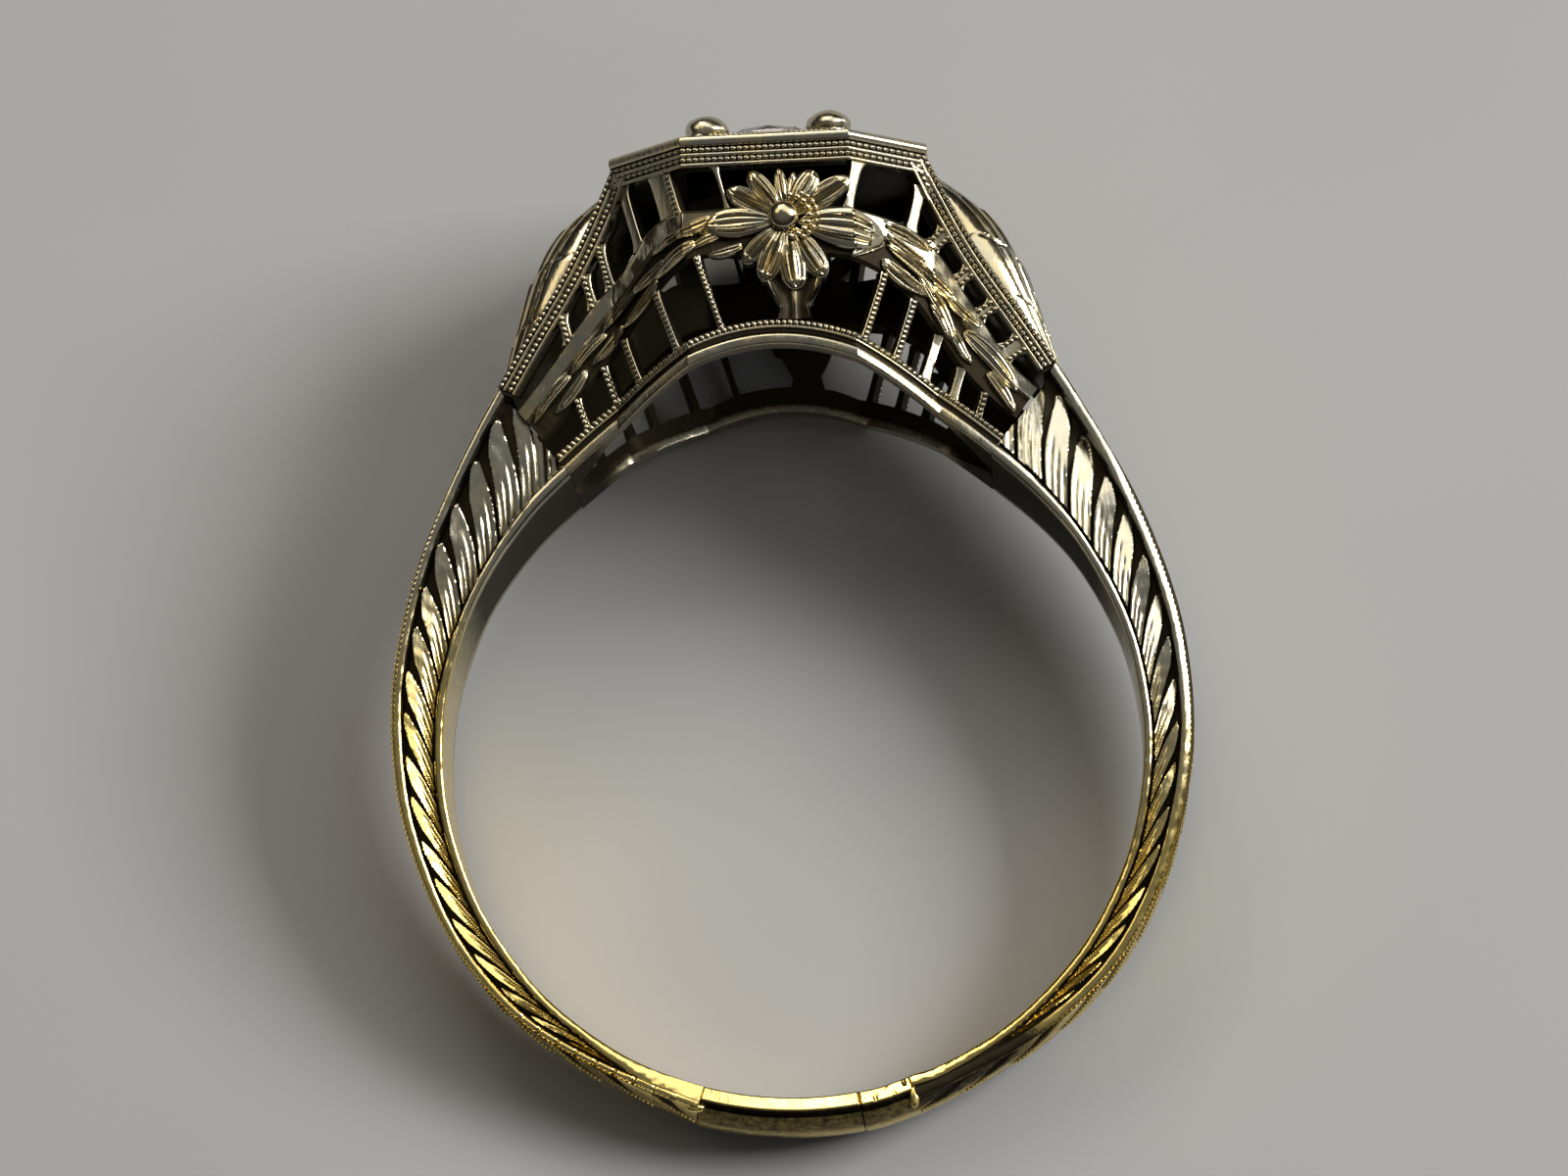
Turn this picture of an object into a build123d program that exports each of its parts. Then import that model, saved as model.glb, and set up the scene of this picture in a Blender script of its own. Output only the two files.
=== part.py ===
from build123d import *
import os
from math import atan2, cos, degrees, radians, sin

os.makedirs("parts", exist_ok=True)

# Engagement ring, all lengths in mm and all angles in degrees.
#
# The origin is the centre of the finger hole.  The ring lies on its side, as it
# does on a table: the wide head and the narrow shank both touch the table, so
# the ring's own plane leans by a few degrees.  In the ring's own plane X is to
# the right, Y runs from the shank to the head, and the normal is the finger axis.
# "near" is the side that faces up, "far" is the side that lies on the table.

# ---- finger hole and shank ----
finger_r = 8.25              # inner radius of the finger hole
hole_half_gap = 42.0         # the round wall stops this far each side of the head's middle
arch_y = 9.1                 # height of the finger rails' arch above the hole's centre
shoulder_angle = 37.0        # where the shank ends and the head begins, from the head's middle
insert_half_angle = 17.0     # half the arc of the plain piece at the shank's bottom
shank_bottom_r = 9.1         # outer radius at the bottom
shank_bottom_half_width = 1.05
shank_top_half_width = 1.95
shank_taper_y = -7.75        # the shank widens from here, towards the head
shank_top_y = 9.2            # where the shank is as wide as shank_top_half_width
# the shank's outside, from its bottom to the shoulder
shank_outside = ((6.65, -6.35), (9.5, 0.2), (8.75, 4.7))

# ---- head: an octagon with its long facets front and back ----
head_half_width = 4.0        # from the ring's middle plane to the near facet
facet_half = 2.0             # half the length of the near facet
end_x = 3.8                  # from the middle to the head's left and right ends
end_half_width = 2.25        # half the width of those ends
wing_x = 7.4                 # the side walls run on to here, over the shoulders
wing_half_width = 1.85

rail_depth = 0.5             # thickness of the gallery walls
finger_rail_depth = 0.9
finger_rail_height = 0.28
finger_rail_droop = 0.3      # how much lower than arch_y they are at the facets' corners
base_rail_height = 0.34
leaf_proud = 0.12            # how far the leaves stand out from the gallery wall
flower_proud = 0.22
boss_proud = 0.38

# ---- top plate and setting ----
top_rail_y = 13.95           # top of the milgrained rail
top_rail_height = 0.5
plate_height = 0.25
box_half = 1.98              # half the side of the square setting box
box_corner = 0.55
box_base_y = 13.2
box_top_y = 14.75
girdle_r = 1.62
girdle_y = 14.6
girdle_height = 0.08
table_r = 0.88
table_y = 15.22
culet_r = 0.12
culet_y = 13.4
bead_pitch = 2.9
bead_r = 0.45
bead_y = 14.95
box_opening_r = 1.3          # the open back of the setting box, under the stone

# ---- gallery ornament ----
flower_x = 0.5
flower_y = 12.0
flower_core_r = 0.55
petal_half_width = 0.27
# each petal's direction, counted from the right, and its length
petals = (
    (90, 1.2), (135, 1.3), (180, 1.6), (230, 1.35),
    (270, 1.45), (310, 1.35), (0, 1.6), (45, 1.3),
)
boss_r = 0.4
boss_edge = 0.12
calyx_drop = 1.2             # from the flower's middle to the calyx's top
calyx_half_width = 0.75
calyx_waist_drop = 0.55      # from the calyx's top to where it starts to narrow
calyx_waist_half_width = 0.69
calyx_foot_half_width = 0.5
calyx_sink = 0.3             # its outline runs on into the base rail, which trims it
bar_width = 0.2
bar_lean = 18.0              # the bars fan out from the middle
bar_depth = 0.35
bar_inset = 0.05
bar_length = 4.5             # longer than the windows, which trim the bars
lower_bar_x = (-4.7, -4.0, -3.3, -2.4, -1.3, 2.0, 2.9, 3.6, 4.2, 4.8)
corner_bar_x = -2.15         # a wide double bar at the octagon's corner
upper_bar_x = (-5.1, -4.45, -3.85, -3.1, corner_bar_x, -0.8, 1.95, 3.25, 4.0, 4.6, 5.15)
corner_bar_width = 0.5
# each row of bars is highest in the middle and falls with the square of x
lower_bar_peak = 10.2
lower_bar_fall = 0.09
upper_bar_peak = 13.0
upper_bar_fall = 0.11

# ---- shoulders ----
shoulder_run = 0.49          # the slope's direction: this far out
shoulder_fall = 0.87         # for this far down
shoulder_leaf_x = 5.2        # the middle of the leaf
shoulder_leaf_y = 11.3
shoulder_leaf_half_length = 2.7
shoulder_leaf_half_width = 0.95

reach = 6.0                  # further than anything along the finger axis
above = 18.0                 # higher than anything on the head
drop = 30.0                  # further than from there to the shank's bottom
wedge = 40.0                 # longer than the head's wedge, from the hole's centre

rest_span = arch_y - finger_rail_droop + shank_bottom_r
tilt = degrees(atan2(head_half_width - shank_bottom_half_width, rest_span))

ring = Plane(
    origin=(0, 0, 0),
    x_dir=(1, 0, 0),
    z_dir=(0, -sin(radians(tilt)), cos(radians(tilt))),
)
# looks down on the head: X to the right, Y along the finger axis, normal towards the shank
plan = Plane(origin=ring.from_local_coords((0, above, 0)), x_dir=ring.x_dir, z_dir=-ring.y_dir)
# looks along the ring's X: X from shank to head, Y along the finger axis
side_view = Plane(origin=(0, 0, 0), x_dir=ring.y_dir, z_dir=ring.x_dir)
head_axis = Axis((0, 0, 0), ring.y_dir)

sides = {"near": 1, "far": -1}
hands = {"left": -1, "right": 1}


def polar(radius, angle):
    """A point of the ring's plane at this angle from the head's middle, clockwise."""
    return (radius * sin(radians(angle)), radius * cos(radians(angle)))


def level(y):
    """A plane across the head at height y, with its normal away from the finger."""
    return Plane(
        origin=ring.from_local_coords((0, y, 0)), x_dir=ring.x_dir, z_dir=ring.y_dir
    )


def mirrored(points, hand):
    return [(hand * x, y) for x, y in points]


def finish(piece, name):
    piece.part.label = name
    export_step(piece.part, f"parts/{name}.step")


# ---- zones of the gallery, drawn in the ring's plane ----

# each from the middle out: the lower windows' floor, inside the base rail,
# the leaf swag's lower and upper edge, and the top rail's
window_floor = ((0.4, 9.65), (2.6, 9.2), (4.0, 8.4), (5.9, 6.9))
swag_low = ((0.9, 11.35), (2.3, 11.15), (3.3, 9.95), (4.4, 8.6), (5.7, 7.35))
swag_high = ((0.9, 12.5), (2.3, 12.3), (3.3, 12.0), (4.9, 9.75), (6.4, 8.0))
rail_high = ((end_x, top_rail_y), (5.1, 11.35), (5.9, 10.1), (7.2, 7.95))
rail_low = ((3.45, top_rail_y - top_rail_height), (4.7, 11.1), (5.45, 9.85), (6.75, 7.7))
# the shoulder leaves' outside, where they stand highest
leaf_high = ((3.95, top_rail_y), (5.5, 12.6), (6.25, 10.9), (6.75, 9.0))


def head_wedge():
    """Everything between the two shoulders."""
    with BuildSketch(ring) as zone:
        with BuildLine():
            Polyline((0, 0), polar(wedge, -shoulder_angle), polar(wedge, shoulder_angle), close=True)
        make_face()
    return zone.sketch


def arch_points(rise):
    left = polar(finger_r + rise, -hole_half_gap)
    right = polar(finger_r + rise, hole_half_gap)
    return (left, (0, arch_y + rise), right)


def arch_slopes():
    slope = radians(hole_half_gap)
    return ((cos(slope), sin(slope)), (1, 0), (cos(slope), -sin(slope)))


def arch_band(low, high):
    """The face between the finger rails' arch moved out by low and by high."""
    with BuildSketch(ring) as zone:
        with BuildLine():
            bottom = Spline(*arch_points(low), tangents=arch_slopes())
            top = Spline(*arch_points(high), tangents=arch_slopes())
            Line(bottom @ 0, top @ 0)
            Line(bottom @ 1, top @ 1)
        make_face()
        add(head_wedge(), mode=Mode.INTERSECT)
    return zone.sketch


def swag_zone(hand):
    with BuildSketch(ring) as zone:
        with BuildLine():
            low = Spline(*mirrored(swag_low, hand))
            high = Spline(*mirrored(swag_high, hand))
            Line(low @ 0, high @ 0)
            Line(low @ 1, high @ 1)
        make_face()
        add(head_wedge(), mode=Mode.INTERSECT)
    return zone.sketch


def span_zone(low, high):
    """The face between two curves that are given from the middle out, on both hands."""
    with BuildSketch(ring) as zone:
        with BuildLine():
            for hand in (-1, 1):
                Spline(*mirrored(low, hand))
                Spline(*mirrored(high, hand))
                Line(*[mirrored(curve, hand)[-1] for curve in (low, high)])
            Line(*[mirrored(low, hand)[0] for hand in (-1, 1)])
            Line(*[mirrored(high, hand)[0] for hand in (-1, 1)])
        make_face()
        add(head_wedge(), mode=Mode.INTERSECT)
    return zone.sketch


def gallery_wall(side, stand, depth):
    """A wall that follows the octagon, stands out by stand and is depth thick."""
    edge = [(-wing_x, wing_half_width), (-end_x, end_half_width), (-facet_half, head_half_width)]
    edge += [(-x, y) for x, y in reversed(edge)]
    edge += [(wing_x, -drop), (-wing_x, -drop)]
    with BuildPart() as wall:
        with BuildSketch(plan):
            with BuildLine():
                Polyline(*[(x, side * y) for x, y in edge], close=True)
            make_face()
            if stand:
                offset(amount=stand, kind=Kind.INTERSECTION)
            offset(amount=-depth, kind=Kind.INTERSECTION, mode=Mode.SUBTRACT)
        extrude(amount=drop)
    return wall.part


# ---- shank ----


def shank_outline(hand):
    """Half of the shank, from the plain insert to the shoulder."""
    slope = radians(hole_half_gap)
    bottom = 180 - insert_half_angle
    with BuildSketch(ring) as zone:
        with BuildLine():
            wall = ThreePointArc(
                polar(finger_r, hand * bottom),
                polar(finger_r, hand * (bottom + hole_half_gap) / 2),
                polar(finger_r, hand * hole_half_gap),
            )
            rise = Spline(
                wall @ 1,
                (0, arch_y),
                tangents=[(-hand * cos(slope), sin(slope)), (-hand, 0)],
            )
            outer = Spline(
                polar(shank_bottom_r, hand * bottom),
                *mirrored(shank_outside, hand),
                *reversed(mirrored(rail_high, hand)),
            )
            Line(rise @ 1, (0, top_rail_y))
            Line((0, top_rail_y), outer @ 1)
            Line(wall @ 0, outer @ 0)
        make_face()
        add(head_wedge(), mode=Mode.SUBTRACT)
    return zone.sketch


def shank_width():
    """The shank's width from its bottom to the head, seen from the side."""
    edge = [
        (-drop, shank_bottom_half_width),
        (shank_taper_y, shank_bottom_half_width),
        (shank_top_y, shank_top_half_width),
        (drop, shank_top_half_width),
    ]
    with BuildPart() as slab:
        with BuildSketch(side_view):
            with BuildLine():
                Polyline(*edge, *[(y, -z) for y, z in reversed(edge)], close=True)
            make_face()
        extrude(amount=drop, both=True)
    return slab.part


for hand_name, hand in hands.items():
    with BuildPart() as shank:
        add(shank_outline(hand))
        extrude(amount=reach, dir=ring.z_dir, both=True)
        add(shank_width(), mode=Mode.INTERSECT)
    finish(shank, f"shank_{hand_name}")

with BuildPart() as sizing_insert:
    with BuildSketch(ring):
        with BuildLine():
            bottom_arcs = [
                ThreePointArc(*[polar(r, 180 + turn * insert_half_angle) for turn in (-1, 0, 1)])
                for r in (finger_r, shank_bottom_r)
            ]
            for end in (0, 1):
                Line(*[arc @ end for arc in bottom_arcs])
        make_face()
    extrude(amount=shank_bottom_half_width, both=True)
finish(sizing_insert, "sizing_insert")

# ---- top plate and setting ----

with BuildPart() as stone:
    with BuildSketch(ring):
        with BuildLine():
            Polyline(
                (0, culet_y),
                (culet_r, culet_y),
                (girdle_r, girdle_y),
                (girdle_r, girdle_y + girdle_height),
                (table_r, table_y),
                (0, table_y),
                close=True,
            )
        make_face()
    revolve(axis=head_axis)
finish(stone, "centre_stone")

with BuildPart() as setting_box:
    with BuildSketch(level(box_base_y)) as box_plan:
        Rectangle(2 * box_half, 2 * box_half)
        chamfer(box_plan.vertices(), box_corner)
        Circle(box_opening_r, mode=Mode.SUBTRACT)
    extrude(amount=box_top_y - box_base_y)
    add(stone.part, mode=Mode.SUBTRACT)
    with BuildSketch(level(girdle_y + girdle_height / 2)):
        Circle(girdle_r)
    extrude(amount=box_top_y - girdle_y, mode=Mode.SUBTRACT)
finish(setting_box, "setting_box")

with BuildPart(level(bead_y)) as corner_beads:
    with GridLocations(bead_pitch, bead_pitch, 2, 2):
        Sphere(bead_r)
    split(bisect_by=level(box_top_y), keep=Keep.TOP)
    add(stone.part, mode=Mode.SUBTRACT)
finish(corner_beads, "corner_beads")

with BuildPart() as top_plate:
    with BuildSketch(level(top_rail_y)):
        with BuildLine():
            quarter = [(end_x, end_half_width), (facet_half, head_half_width)]
            half = quarter + [(-x, z) for x, z in reversed(quarter)]
            Polyline(*half, *[(x, -z) for x, z in reversed(half)], close=True)
        make_face()
    extrude(amount=plate_height)
    with BuildSketch(level(top_rail_y)) as box_hole:
        Rectangle(2 * box_half, 2 * box_half)
        chamfer(box_hole.vertices(), box_corner)
    extrude(amount=plate_height, mode=Mode.SUBTRACT)
finish(top_plate, "top_plate")

# ---- galleries, one on each side of the head ----


def calyx_outline():
    """The tulip-shaped foot between the flower and the base rail."""
    top_y = flower_y - calyx_drop
    waist_y = top_y - calyx_waist_drop
    foot_y = arch_y + finger_rail_height + base_rail_height - calyx_sink
    with BuildSketch(ring) as zone:
        with BuildLine():
            for hand in (-1, 1):
                Spline(
                    (flower_x + hand * calyx_half_width, top_y),
                    (flower_x + hand * calyx_waist_half_width, waist_y),
                    (flower_x + hand * calyx_foot_half_width, foot_y),
                )
            Line(*[(flower_x + hand * calyx_half_width, top_y) for hand in (-1, 1)])
            Line(*[(flower_x + hand * calyx_foot_half_width, foot_y) for hand in (-1, 1)])
        make_face()
    return zone.sketch


def leaning_bars(places, widths, y_at, window):
    """Bars that fan out from the middle, each through its own place, cut to the windows."""
    with BuildSketch(ring) as bars:
        for x, width in zip(places, widths):
            lean = -bar_lean if x > 0 else bar_lean
            with Locations(Location((x, y_at(x)), lean)):
                Rectangle(width, bar_length)
        add(window, mode=Mode.INTERSECT)
    return bars.sketch


def lower_bar_y(x):
    return lower_bar_peak - lower_bar_fall * x**2


def upper_bar_y(x):
    return upper_bar_peak - upper_bar_fall * x**2


def make_rail(side, zone, depth, name):
    """A rail of the gallery: its zone, cut out of the wall."""
    with BuildPart() as rail:
        add(zone)
        extrude(amount=reach, dir=ring.z_dir * side)
        add(gallery_wall(side, 0, depth), mode=Mode.INTERSECT)
    finish(rail, name)
    return rail.part


def make_flower(side, side_name):
    base_z = side * (head_half_width - rail_depth)
    with BuildPart() as flower:
        with BuildSketch(ring.offset(base_z)):
            with Locations((flower_x, flower_y)):
                Circle(flower_core_r)
                for angle, length in petals:
                    with PolarLocations(length / 2, 1, start_angle=angle):
                        Ellipse(length / 2, petal_half_width)
        extrude(amount=side * (rail_depth + flower_proud))
    finish(flower, f"flower_{side_name}")
    return flower.part


def make_boss(side, side_name):
    base_z = side * (head_half_width + flower_proud)
    with BuildPart() as boss:
        with BuildSketch(ring.offset(base_z)):
            with Locations((flower_x, flower_y)):
                Circle(boss_r)
        extrude(amount=side * (boss_proud - flower_proud))
        crown = boss.edges().sort_by(Axis((0, 0, 0), ring.z_dir * side))[-1]
        fillet(crown, boss_edge)
    finish(boss, f"flower_boss_{side_name}")


def make_relief(side, zone, neighbours, name):
    """A leaf or calyx that stands a little out of the wall and butts its neighbours."""
    with BuildPart() as relief:
        add(zone)
        extrude(amount=reach, dir=ring.z_dir * side)
        add(gallery_wall(side, leaf_proud, rail_depth), mode=Mode.INTERSECT)
        add(neighbours, mode=Mode.SUBTRACT)
    finish(relief, name)
    return relief.part


def make_bars(side, bars, neighbours, name):
    """The bars across one row of windows."""
    with BuildPart() as row:
        add(bars)
        extrude(amount=reach, dir=ring.z_dir * side)
        add(gallery_wall(side, -bar_inset, bar_depth), mode=Mode.INTERSECT)
        add(neighbours, mode=Mode.SUBTRACT)
    finish(row, name)


def make_gallery(side_name, side):
    base_top = finger_rail_height + base_rail_height
    finger_band = arch_band(0, finger_rail_height)
    base_band = arch_band(finger_rail_height, base_top)
    make_rail(side, finger_band, finger_rail_depth, f"finger_rail_{side_name}")
    base = make_rail(side, base_band, rail_depth, f"base_rail_{side_name}")
    make_rail(side, span_zone(rail_low, rail_high), rail_depth, f"top_rail_{side_name}")

    flower = make_flower(side, side_name)
    make_boss(side, side_name)
    calyx = make_relief(side, calyx_outline(), [flower, base], f"calyx_{side_name}")
    centre = [flower, calyx]
    for hand_name, hand in hands.items():
        make_relief(side, swag_zone(hand), centre, f"leaf_swag_{side_name}_{hand_name}")

    lower_widths = [bar_width] * len(lower_bar_x)
    lower_window = span_zone(window_floor, swag_low)
    lower = leaning_bars(lower_bar_x, lower_widths, lower_bar_y, lower_window)
    make_bars(side, lower, [*centre, base], f"lower_bars_{side_name}")

    upper_widths = [corner_bar_width if x == corner_bar_x else bar_width for x in upper_bar_x]
    upper_window = span_zone(swag_high, rail_low)
    upper = leaning_bars(upper_bar_x, upper_widths, upper_bar_y, upper_window)
    make_bars(side, upper, centre, f"upper_bars_{side_name}")


for side_name, side in sides.items():
    make_gallery(side_name, side)

# ---- shoulders ----


def between_walls():
    """The inside of the head and the shoulders, between the near and the far wall."""
    quarter = [(wing_x, wing_half_width), (end_x, end_half_width), (facet_half, head_half_width)]
    half = quarter + [(-x, z) for x, z in reversed(quarter)]
    with BuildPart() as inside:
        with BuildSketch(plan):
            with BuildLine():
                Polyline(*half, *[(x, -z) for x, z in reversed(half)], close=True)
            make_face()
            offset(amount=-rail_depth, kind=Kind.INTERSECTION)
        extrude(amount=drop)
    return inside.part


def shoulder_zone(low, high, hand):
    """The face between two curves of one shoulder."""
    with BuildSketch(ring) as zone:
        with BuildLine():
            inner = Spline(*mirrored(low, hand))
            outer = Spline(*mirrored(high, hand))
            Line(inner @ 0, outer @ 0)
            Line(inner @ 1, outer @ 1)
        make_face()
        add(head_wedge(), mode=Mode.INTERSECT)
    return zone.sketch


def slope_plane(hand):
    """Lies on the shoulder's slope, X down the slope and normal outwards."""
    down = ring.x_dir * (hand * shoulder_run) - ring.y_dir * shoulder_fall
    outwards = ring.x_dir * (hand * shoulder_fall) + ring.y_dir * shoulder_run
    middle = ring.from_local_coords((hand * shoulder_leaf_x, shoulder_leaf_y, 0))
    return Plane(origin=middle, x_dir=down, z_dir=outwards)


for hand_name, hand in hands.items():
    with BuildPart() as shoulder_plate:
        add(shoulder_zone(rail_low, rail_high, hand))
        extrude(amount=reach, dir=ring.z_dir, both=True)
        add(between_walls(), mode=Mode.INTERSECT)
    finish(shoulder_plate, f"shoulder_plate_{hand_name}")

    with BuildPart() as shoulder_leaf:
        add(shoulder_zone(rail_high, leaf_high, hand))
        extrude(amount=reach, dir=ring.z_dir, both=True)
        with BuildSketch(slope_plane(hand)):
            Ellipse(shoulder_leaf_half_length, shoulder_leaf_half_width)
        extrude(amount=reach, both=True, mode=Mode.INTERSECT)
    finish(shoulder_leaf, f"shoulder_leaf_{hand_name}")
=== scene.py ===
import bmesh
import bpy
import numpy as np
from mathutils import Matrix, Quaternion, Vector


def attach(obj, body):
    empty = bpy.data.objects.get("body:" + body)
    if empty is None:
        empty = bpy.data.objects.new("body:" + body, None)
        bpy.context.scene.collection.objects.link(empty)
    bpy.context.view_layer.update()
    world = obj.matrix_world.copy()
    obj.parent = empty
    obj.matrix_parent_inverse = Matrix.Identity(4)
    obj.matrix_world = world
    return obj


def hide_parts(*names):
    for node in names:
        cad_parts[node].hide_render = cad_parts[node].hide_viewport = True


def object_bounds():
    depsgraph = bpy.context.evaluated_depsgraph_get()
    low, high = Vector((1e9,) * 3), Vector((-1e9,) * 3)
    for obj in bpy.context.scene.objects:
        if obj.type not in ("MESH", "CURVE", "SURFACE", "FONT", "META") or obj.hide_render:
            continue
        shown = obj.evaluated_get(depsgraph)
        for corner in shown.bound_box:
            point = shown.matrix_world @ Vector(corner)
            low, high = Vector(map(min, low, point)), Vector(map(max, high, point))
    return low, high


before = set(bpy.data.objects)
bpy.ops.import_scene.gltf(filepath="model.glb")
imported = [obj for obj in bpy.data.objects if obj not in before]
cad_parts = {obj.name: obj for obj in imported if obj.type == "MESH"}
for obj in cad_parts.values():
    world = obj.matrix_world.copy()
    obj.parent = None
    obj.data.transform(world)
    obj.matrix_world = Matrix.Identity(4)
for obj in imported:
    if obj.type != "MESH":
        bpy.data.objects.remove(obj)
cad_low, cad_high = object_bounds()

# The ring's own frame, in mm: X right, Y from the shank to the head, Z the finger axis.
# It leans about X by the angle at which the head and the shank both touch the table.
MM = 0.001
FINGER_R = 8.25
# top of the arch over the finger, and the angle at which it leaves the finger hole's circle
ARCH_Y, HALF_GAP = 9.1, 42.0
# angles in degrees: from the head's middle to its joints with the shank, and half the sizing insert
SHOULDER, INSERT = 37.0, 17.0
SEAM_ANGLE = 171.7
BOTTOM_R = 9.1
# half the ring's width at the head and at the bottom
HEAD_HALF, BOTTOM_HALF = 4.0, 1.05
# the upper corner of the galleries' middle panel
END_X, TOP_Y = 3.8, 13.95
TILT = np.arctan2(HEAD_HALF - BOTTOM_HALF, ARCH_Y - 0.3 + BOTTOM_R)
RAIL_DEPTH = 0.5
FINGER_RAIL, BASE_RAIL = 0.28, 0.34
BAR_BOTTOM = -0.42
FLOWER = np.array((0.45, 12.05))

RAIL_HIGH = ((END_X, TOP_Y), (5.1, 11.35), (5.9, 10.1), (7.2, 7.95))
LEAF_HIGH = ((3.95, TOP_Y), (5.5, 12.6), (6.25, 10.9), (6.75, 9.0))
SHANK_OUT = ((6.65, -6.35), (9.5, 0.2), (8.75, 4.7))


def to_world(p):
    """Ring-frame millimetres to the row frame in metres."""
    c, s = np.cos(TILT), np.sin(TILT)
    x, y, z = p[..., 0], p[..., 1], p[..., 2]
    return np.stack([x, y * c - z * s, y * s + z * c], -1) * MM


def polar(radius, angle):
    a = np.radians(angle)
    return np.stack([radius * np.sin(a), radius * np.cos(a)], -1)


def bearing(points):
    """Degrees from the head's middle, positive to the right."""
    return np.degrees(np.arctan2(points[:, 0], points[:, 1]))


def full_turn(count):
    return np.linspace(0, 2 * np.pi, count + 1)[:-1]


def unit(vectors):
    return vectors / np.linalg.norm(vectors, axis=-1, keepdims=True)


def resample(points, count):
    points = np.asarray(points, float)
    step = np.linalg.norm(np.diff(points, axis=0), axis=1)
    at = np.r_[0, np.cumsum(step)]
    want = np.linspace(0, at[-1], count)
    return np.stack([np.interp(want, at, points[:, k]) for k in range(points.shape[1])], -1)


def length_of(points):
    return np.linalg.norm(np.diff(points, axis=0), axis=1).sum()


def spline(points, count):
    """A natural cubic through the points, evenly spaced along its length."""
    p = np.asarray(points, float)
    n = len(p)
    d = np.linalg.norm(np.diff(p, axis=0), axis=1)
    t = np.r_[0, np.cumsum(d)]
    system, right = np.eye(n), np.zeros((n, p.shape[1]))
    for i in range(1, n - 1):
        system[i, i - 1 : i + 2] = d[i - 1], 2 * (d[i - 1] + d[i]), d[i]
        right[i] = 6 * ((p[i + 1] - p[i]) / d[i] - (p[i] - p[i - 1]) / d[i - 1])
    m = np.linalg.solve(system, right)
    q = np.linspace(0, t[-1], 40 * n)
    k = np.clip(np.searchsorted(t, q, side="right") - 1, 0, n - 2)
    a, b = ((t[k + 1] - q) / d[k])[:, None], ((q - t[k]) / d[k])[:, None]
    curve = a * p[k] + b * p[k + 1]
    curve += ((a**3 - a) * m[k] + (b**3 - b) * m[k + 1]) * (d[k] ** 2)[:, None] / 6
    return resample(curve, count)


def mirrored(points, hand):
    return np.asarray(points, float) * (hand, 1)


def arch(rise, count, half_angle=SHOULDER):
    """The finger rails' arch moved out by rise, from left to right."""
    a = np.radians(HALF_GAP)
    ends = polar(FINGER_R + rise, np.array([-HALF_GAP, HALF_GAP]))
    top = np.array((0, ARCH_Y + rise))
    reach = np.linalg.norm(top - ends[0])
    t = np.linspace(0, 1, 200)[:, None]
    h = (2 * t**3 - 3 * t**2 + 1, t**3 - 2 * t**2 + t, 3 * t**2 - 2 * t**3, t**3 - t**2)
    up = np.array((np.cos(a), np.sin(a))) * reach
    flat = np.array((1, 0)) * reach
    left = h[0] * ends[0] + h[1] * up + h[2] * top + h[3] * flat
    whole = np.vstack([left, (left * (-1, 1))[::-1][1:]])
    return resample(whole[np.abs(bearing(whole)) <= half_angle + 0.01], count)


# the gallery wall from above, and the direction in which each of its points moves outwards
WALL_X = np.array((0, 1.2, 2.0, END_X, 7.4, 12.0))
WALL_Z = np.array((HEAD_HALF, HEAD_HALF, HEAD_HALF, 2.25, 1.85, 1.35))
OUT_X = np.array((0, 0, 0.406, 0.451, 0.11, 0.11))
OUT_Z = np.array((1, 1, 1, 0.956, 0.994, 0.994))


def on_wall(x, y, h, side):
    """Points of the gallery wall: x, y in the ring's plane, h out of the wall."""
    a = np.abs(x)
    across = x + np.sign(x) * np.interp(a, WALL_X, OUT_X) * h
    z = np.interp(a, WALL_X, WALL_Z) + np.interp(a, WALL_X, OUT_Z) * h
    return np.stack([across, y + 0 * h, side * z], -1)


def smooth(x, low, high):
    t = np.clip((x - low) / (high - low), 0, 1)
    return t * t * (3 - 2 * t)


def grain(x, y, seed=0.0):
    """Smooth pseudo-random values from -1 to 1, the same on every run."""
    total = 0
    waves = ((1.0, 0.6, 0.3), (-0.7, 1.3, 1.9), (1.7, -1.1, 4.1), (2.3, 2.1, 2.7))
    for k, (a, b, c) in enumerate(waves):
        total = total + np.sin(a * x + b * y + c + seed * (k + 1.3)) / (k + 1.5)
    return total / 1.6


# edges that turn by more than this many degrees stay sharp
CREASE = 38


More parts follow.
